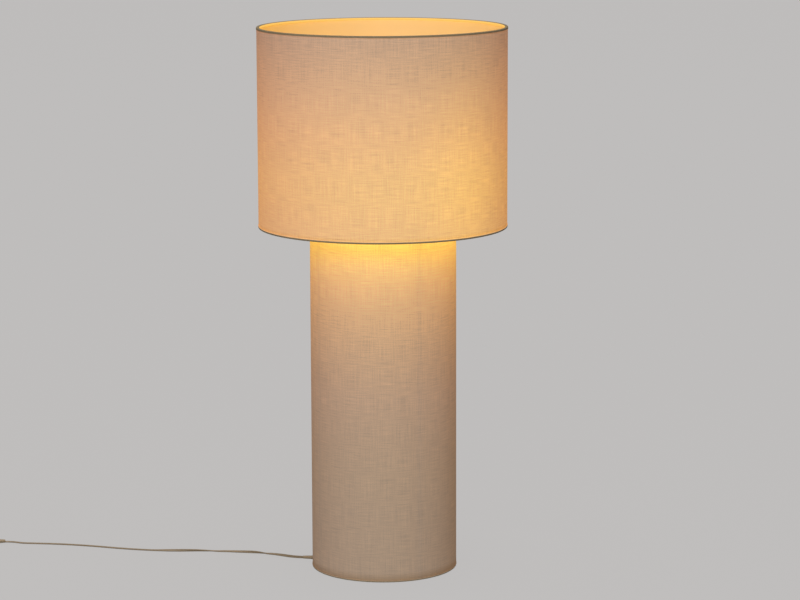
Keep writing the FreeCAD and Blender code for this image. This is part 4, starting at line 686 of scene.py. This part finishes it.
# %% Cloth covers
COVER_ROWS = 40
CLOTH_THICKNESS = 0.5 * MM


def cover(name, node, material, body, inset):
    """A closed thin wall round the axis, in place of the node and as high, less an inset.

    Its outside has the node's radius plus the lap, and its inside that radius less the cloth.
    """
    low_corner, high_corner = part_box(node)
    radius, low, high = high_corner[0], low_corner[2] + inset, high_corner[2] - inset
    angles = angles_round(radius)
    heights = np.linspace(low, high, COVER_ROWS)
    outer = radius + np.zeros_like(heights)[:, None] + lap(angles, radius)
    radii = np.vstack([outer, 0 * outer + radius - CLOTH_THICKNESS])
    levels = np.concatenate([heights, heights[::-1]])
    points = turned_about_axis(radii, angles, levels[:, None])
    piece = surface(name, points, np.append(levels, levels[0]), round_map(angles, radius))
    finish_piece(piece, material, body, "woven_fabric", node)


cover("shade_cover", "shade_fabric", shade_cloth, "shade", inset=0.6 * MM)
cover("column_cover", "column_fabric", column_cloth, "lamp", inset=0.6 * MM)

# %% [markdown]
# Rolled edges
#
# Bias cloth is rolled over the wire ring at each edge: a narrow band outside, a round turn
# and a leg inside. The section is a U whose turn is a rounded rectangle; it wavers by a tenth or
# two of a millimetre round the lamp, as glued cloth does, and laps at the back.
# The band's colour is painted darker where the wire is behind it, a painted shadow of the wire,
# and it has no glow there. Beyond that it glows like the cover, and its inside has a painted glow
# of the bulb's light. Three materials could do that, but one that mixes by the way along the
# section leaves no hard line between them.

# %% Edge cloth
INNER_LIGHT = (0.74, 0.45, 0.09)
# Ways along the section: how the outer band's painted wire shadow fades, and where the inner light
# sets in.
WIRE_SHADOW_FADE = 1.4 * MM
INNER_FROM, INNER_FULL = -2.8 * MM, -3.8 * MM


def stepped(tree, value, start, end, top):
    """A smooth step of a value: 0 before start, top after end."""
    inputs = {"Value": value, "From Min": start, "From Max": end, "To Max": top}
    return add(tree, "MapRange", inputs, interpolation_type="SMOOTHSTEP").outputs["Result"]


def lit_edge(name, glow, wire_shadow_to):
    """Bias cloth over a wire: painted dark, as the wire's shadow, where the wire is behind it,
    and lit above that and on its inside.

    The map's V is the way along the section from the middle of its turn, positive outside.
    """
    material, tree, shader = new_material(name, Roughness=0.9, Specular_IOR_Level=0.1)
    edge_map = add(tree, "UVMap", uv_map="UVMap").outputs["UV"]
    # Bias cloth: its threads run at 45 degrees. They are drawn at 0.8 mm, coarser than real ones.
    bias = add(tree, "Mapping", {"Vector": edge_map, "Rotation": (0, 0, math.pi / 4)})
    edge_threads = noise(tree, bias.outputs["Vector"], (1250, 60, 1))
    # Painted wire shadow: the edge's colour is darker than the cloth where the wire is behind it.
    wire_shadow_colour = ramp(tree, edge_threads, [(0.3, linear("#a08d70")), (0.7, linear("#bba684"))])
    bumped(tree, shader, edge_threads, 0.1 * MM, strength=0.6)
    way = add(tree, "SeparateXYZ", {"Vector": edge_map}).outputs["Y"]
    outside = stepped(tree, way, wire_shadow_to, wire_shadow_to + WIRE_SHADOW_FADE, 0.95)
    inside = stepped(tree, way, INNER_FROM, INNER_FULL, 1.0)
    # Sockets 0, 6 and 7 of a Mix node are its factor and its two colours.
    colour = add(tree, "Mix", {0: outside, 6: wire_shadow_colour, 7: linear(CLOTH)}, data_type="RGBA").outputs[2]
    tree.links.new(colour, shader.inputs["Base Color"])
    through = scaled(tree, glow(tree, *azimuth_and_height(tree)), outside)
    light = add_colours(tree, through, scaled(tree, INNER_LIGHT, inside))
    tree.links.new(light, shader.inputs["Emission Color"])
    shader.inputs["Emission Strength"].default_value = 1.0
    print("material:", material.name)
    return material


shade_edge_cloth = lit_edge("bias_cotton_shade_edge", shade_glow, 5.4 * MM)
column_edge_cloth = lit_edge("bias_cotton_column_edge", column_glow, 3.8 * MM)

# %% Section of a rolled edge
EDGE_TURN_POINTS = 15


def edge_section(wall, leg, back, half_width, depth):
    """Closed section of a U that opens upwards, and each point's way from the middle of the turn.

    The way is positive on the outer leg. The turn's middle line is the lower half of
    |x / a|^3.6 + |z / b|^3.6 = 1, and the wall lies half to each side of it.
    """
    turn = np.linspace(0, np.pi, EDGE_TURN_POINTS)
    shape = np.stack([np.sign(np.cos(turn)) * np.abs(np.cos(turn)) ** 0.55,
                      -np.sin(turn) ** 0.55], -1)

    def line(grow):
        around_turn = shape * (half_width + grow, depth + grow) + (0, depth)
        return np.vstack([[(half_width + grow, leg)], around_turn, [(-half_width - grow, back)]])

    outside, inside = line(wall / 2), line(-wall / 2)
    way = np.concatenate([[0], np.cumsum(np.linalg.norm(np.diff(outside, axis=0), axis=1))])
    way = way[len(way) // 2] - way
    return np.vstack([outside[::-1], inside]), np.concatenate([way[::-1], way])


# %% Rolled edges
# Radius of the inner leg's inner face.
INNER_LEGS = {"shade_top_trim": 243.55 * MM, "shade_bottom_trim": 243.55 * MM,
              "column_top_trim": 142.45 * MM, "column_hem_trim": 142.45 * MM}
WAVER = 0.12 * MM


def rolled_edge(name, node, material, body, up, wall, leg):
    """A U of cloth round the axis at the node's edge; up is 1 where the edge faces down.

    waver(a) = 0.12 mm (sin(7 a + 1) sin(23 a) + 0.6 sin(41 a + 2)), on the ends of both legs.
    """
    low_corner, high_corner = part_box(node)
    outer, tall = high_corner[0], high_corner[2] - low_corner[2]
    edge = low_corner[2] if up > 0 else high_corner[2]
    half_width, depth = (outer - wall - INNER_LEGS[node]) / 2, (tall - wall) / 2
    section, way = edge_section(wall, leg - wall / 2, tall - wall / 2, half_width, depth * 0.9)
    angles = angles_round(outer)
    waver = WAVER * (np.sin(7 * angles + 1.0) * np.sin(23 * angles)
                     + 0.6 * np.sin(41 * angles + 2.0))
    grown = 1 + (lap(angles, outer) * 0.4)[None] / half_width
    radii = outer - wall / 2 - half_width + section[:, :1] * grown
    heights = section[:, 1:] + wall / 2 + waver * (section[:, 1:] > depth)
    points = turned_about_axis(radii, angles, edge + up * heights)
    if up > 0:
        points, way = points[::-1], way[::-1]
    piece = surface(name, points, np.append(way, way[0]), round_map(angles, outer))
    finish_piece(piece, material, body, "trim_cloth", node)


shade_edge = {"material": shade_edge_cloth, "body": "shade", "wall": 0.6 * MM, "leg": 4.6 * MM}
column_edge = {"material": column_edge_cloth, "body": "lamp", "wall": 0.5 * MM, "leg": 3.0 * MM}
rolled_edge("shade_top_edge", "shade_top_trim", up=-1, **shade_edge)
rolled_edge("shade_bottom_edge", "shade_bottom_trim", up=1, **shade_edge)
rolled_edge("column_top_edge", "column_top_trim", up=-1, **column_edge)
rolled_edge("column_hem_edge", "column_hem_trim", up=1, **column_edge)

# %% [markdown]
# Bulb
#
# The frosted globe is one lathe surface: a round glass that narrows to a neck in the metal cap.
# Its own warm light is the only lamp inside the shade; it brightens the liner and the fittings.

# %% Bulb glass
frosted, tree, shader = new_material("frosted_glass_lit", Roughness=0.35)
shader.inputs["Base Color"].default_value = linear("#fff4e0")
shader.inputs["Emission Color"].default_value = linear("#ffcb89")
shader.inputs["Emission Strength"].default_value = 3.0

BULB_STEPS, BULB_AROUND = 48, 64


def bulb_profile(neck, foot, centre, radius):
    """(radius, height) from the neck's foot to the crown: a neck eased into a globe.

    The radius at each height is a soft maximum of the globe's and the neck's: (g^3 + n^3)^(1/3),
    where the neck fades out from its foot up to the globe's centre.
    """
    turn = np.linspace(0, 1, BULB_STEPS)
    heights = foot + (centre + radius - foot) * (1 - (1 - turn) ** 1.6)
    globe = np.sqrt(np.clip(radius**2 - (heights - centre)**2, 0, None))
    stem = neck * (1 - eased((heights - foot) / (centre - foot)))
    return np.stack([(globe**3 + stem**3) ** (1 / 3), heights], -1)


NECK_RADIUS = 11.3 * MM
glass_low, glass_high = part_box("bulb_glass")
globe_radius = glass_high[0]
profile = bulb_profile(NECK_RADIUS, glass_low[2], glass_high[2] - globe_radius, globe_radius)
turns = np.arange(BULB_AROUND) / BULB_AROUND * 2 * np.pi
globe_points = turned_about_axis(profile[:-1, :1], turns, profile[:-1, 1:])
glass = surface("bulb_globe", globe_points, profile[:-1, 1], round_map(turns, globe_radius),
                ends=((0, 0, profile[0, 1]), (0, 0, profile[-1, 1])))
finish_piece(glass, frosted, "bulb", "bulb_glass", "bulb_glass")

# %% [markdown]
# Finishes of the solids that show as they are
#
# Wire, base, stem, lampholder, bulb cap, switch and plug keep their solids. Each gets a material
# named for what it is made of, with Object coordinates for its grain, because a solid has no map.

# %% Hard materials


def hard(name, colour, grain, depth, roughness, metallic=0.0, uneven=0.1, **sockets):
    """A hard finish: colour, grain size and depth in metres, and roughness that varies a little."""
    material, tree, shader = new_material(name, Metallic=metallic, **sockets)
    place = add(tree, "TexCoord").outputs["Object"]
    fine = noise(tree, place, (1 / grain,) * 3)
    worn = noise(tree, place, (18, 18, 18), detail=3.0)
    shading = calculate(tree, "MULTIPLY_ADD", worn, 0.12, 0.94)
    tree.links.new(scaled(tree, linear(colour)[:3], shading), shader.inputs["Base Color"])
    rough = calculate(tree, "MULTIPLY_ADD", worn, uneven, roughness - uneven / 2)
    tree.links.new(rough, shader.inputs["Roughness"])
    bumped(tree, shader, fine, depth, strength=0.5)
    return material


FINISHES = {
    "white_wire": hard("powder_coated_wire", "#efeee9", 0.7 * MM, 0.04 * MM, 0.45),
    "black_rubber": hard("moulded_rubber", "#161616", 0.5 * MM, 0.05 * MM, 0.85),
    "base_paint": hard("powder_coated_steel", "#eceae4", 0.8 * MM, 0.06 * MM, 0.5),
    "cast_iron": hard("cast_iron", "#4b4c4e", 2.2 * MM, 0.4 * MM, 0.7, metallic=0.7),
    "zinc_steel": hard("zinc_plated_steel", "#c3c6c9", 0.4 * MM, 0.01 * MM, 0.32, metallic=1.0),
    "white_moulding": hard("moulded_thermoplastic_white", "#f0eee8", 0.6 * MM, 0.01 * MM, 0.3),
    "ceramic": hard("unglazed_ceramic", "#e6e1d6", 0.5 * MM, 0.04 * MM, 0.7),
    "brass": hard("dulled_brass", "#c8a354", 0.4 * MM, 0.01 * MM, 0.34, metallic=1.0),
    "cap_aluminium": hard("rolled_aluminium", "#cfcfcd", 0.4 * MM, 0.01 * MM, 0.3, metallic=1.0),
    "black_glass": hard("fused_black_glass", "#0c0c0f", 1.0 * MM, 0.01 * MM, 0.08, uneven=0.02),
    "mount_glass": hard("clear_glass", "#f4f4f1", 1.0 * MM, 0.005 * MM, 0.05, uneven=0.02,
                        Transmission_Weight=1.0),
    "filament": hard("yellow_phosphor", "#f2c45a", 0.3 * MM, 0.01 * MM, 0.6),
    "core_sheath": hard("extruded_pvc_brown", "#5a3320", 0.6 * MM, 0.01 * MM, 0.4),
    "grommet_plastic": hard("soft_moulded_pvc", "#b39d7d", 0.5 * MM, 0.02 * MM, 0.5),
    "switch_plastic": hard("moulded_abs_ivory", "#e4ddcf", 0.5 * MM, 0.015 * MM, 0.33),
    "contact_plastic": hard("moulded_phenolic_black", "#1c1b1a", 0.5 * MM, 0.02 * MM, 0.5),
}
print(len(FINISHES), "finishes for the solids")

# %% [markdown]
# Liner
#
# The stiff white sheet behind the cloth is seen only down the shade's open top. It stays the
# imported solid, with a painted warm glow, strongest at the bulb's height, with faint upright
# streaks.

# %% Liner material
liner, tree, shader = new_material("white_styrene_sheet", Roughness=0.55)
# The base colour is warmer than the white sheet's own: a painted warm tint of the bulb's light.
shader.inputs["Base Color"].default_value = linear("#f3e4c2")
where = add(tree, "TexCoord").outputs["Object"]
streaks = noise(tree, where, (30, 30, 1.5), detail=2.0)
liner_height = add(tree, "SeparateXYZ", {"Vector": where}).outputs["Z"]
liner_fade = calculate(tree, "MULTIPLY_ADD", bell(tree, liner_height, 0.78, 0.22), 0.5, 0.5)
streaked = calculate(tree, "MULTIPLY_ADD", streaks, 0.12, 0.94)
liner_light = calculate(tree, "MULTIPLY", liner_fade, streaked)
tree.links.new(scaled(tree, (0.42, 0.20, 0.0), liner_light), shader.inputs["Emission Color"])
shader.inputs["Emission Strength"].default_value = 1.0
FINISHES["liner_sheet"] = liner
print("material:", liner.name)

# %% Materials on the solids
for part in frame["record"]["subparts"]:
    finish = FINISHES.get(part["material_slot"])
    if finish:
        solid = frame["nodes"][part["node"]]
        solid.data.materials.clear()
        solid.data.materials.append(finish)
dressed = [part for part in frame["record"]["subparts"] if part["material_slot"] in FINISHES]
print("solids dressed:", len(dressed))

# %% [markdown]
# Floor and light
#
# The photograph shows an even grey ground without a horizon. A round floor whose rim curves up
# into a wall, as a studio's cove does, gives that from every side, where a flat plane would end
# in a line. It glows in the ground's own grey, with a little diffuse for a faint contact shadow.
# Diffuse rays don't see it, so it neither lights the lamp from below nor shuts out the world.
# One large soft box stands beside the camera, a little to the left, a wide dim sun shines from
# above, and a dim white world fills in.

# %% Floor
GROUND, GROUND_GLOW = "#bfbdbc", 0.955
# (radius, height) from the inner floor, over the curved rim, to the top of the wall, in metres.
COVE_PROFILE = np.array([(0.5, 0.0), (14.0, 0.0), (16.0, 0.3), (17.7, 1.1), (19.2, 2.6),
                         (20.0, 4.8), (20.0, 30.0)])
COVE_AROUND = 96


def cove(name):
    """A round floor whose rim curves up: each profile point (r, z) turned about the axis."""
    turn = np.arange(COVE_AROUND) / COVE_AROUND * 2 * np.pi
    rings = turned_about_axis(COVE_PROFILE[:, :1], turn, COVE_PROFILE[:, 1:])
    row, column = np.meshgrid(np.arange(len(rings) - 1), np.arange(COVE_AROUND), indexing="ij")
    after = (column + 1) % COVE_AROUND
    faces = np.stack([(row + 1) * COVE_AROUND + column, (row + 1) * COVE_AROUND + after,
                      row * COVE_AROUND + after, row * COVE_AROUND + column], -1)
    mesh = bpy.data.meshes.new(name)
    mesh.from_pydata(rings.reshape(-1, 3).tolist(), [],
                     [list(range(COVE_AROUND)), *faces.reshape(-1, 4).tolist()])
    return mesh


floor = bpy.data.objects.new("floor", cove("floor"))
bpy.context.scene.collection.objects.link(floor)
ground, tree, shader = new_material("matt_painted_floor", Roughness=1.0, Specular_IOR_Level=0.0)
shader.inputs["Base Color"].default_value = linear("#3c3c3c")
shader.inputs["Emission Color"].default_value = linear(GROUND)
shader.inputs["Emission Strength"].default_value = GROUND_GLOW
floor.data.materials.append(ground)
floor.visible_diffuse = False
print(f"floor: {len(floor.data.polygons)} faces")

# %% World and lights
WORLD_STRENGTH = 0.1426
SOFT_BOX_PLACE, SOFT_BOX_AIM = Vector((-1.06, -6.0, 2.6)), Vector((0, 0, 0.6))
SOFT_BOX_WATTS = 118.0
TOP_LIGHT_STRENGTH, TOP_LIGHT_SPREAD = 1.1, math.radians(40)

world = bpy.data.worlds.new("studio")
world.use_nodes = True
world.node_tree.nodes["Background"].inputs["Color"].default_value = (1, 1, 1, 1)
world.node_tree.nodes["Background"].inputs["Strength"].default_value = WORLD_STRENGTH
bpy.context.scene.world = world

soft_box_data = bpy.data.lights.new("soft_box", "AREA")
soft_box_data.shape = "RECTANGLE"
soft_box_data.size, soft_box_data.size_y = 4.0, 3.0
soft_box_data.energy = SOFT_BOX_WATTS
soft_box = bpy.data.objects.new("soft_box", soft_box_data)
soft_box.location = SOFT_BOX_PLACE
soft_box.rotation_euler = (SOFT_BOX_AIM - SOFT_BOX_PLACE).to_track_quat("-Z", "Y").to_euler()
bpy.context.scene.collection.objects.link(soft_box)

top_light_data = bpy.data.lights.new("top_light", "SUN")
top_light_data.energy = TOP_LIGHT_STRENGTH
top_light_data.angle = TOP_LIGHT_SPREAD
top_light = bpy.data.objects.new("top_light", top_light_data)
top_light.location = (0, 0, 4)
bpy.context.scene.collection.objects.link(top_light)
print("lights: world, soft box and top light")
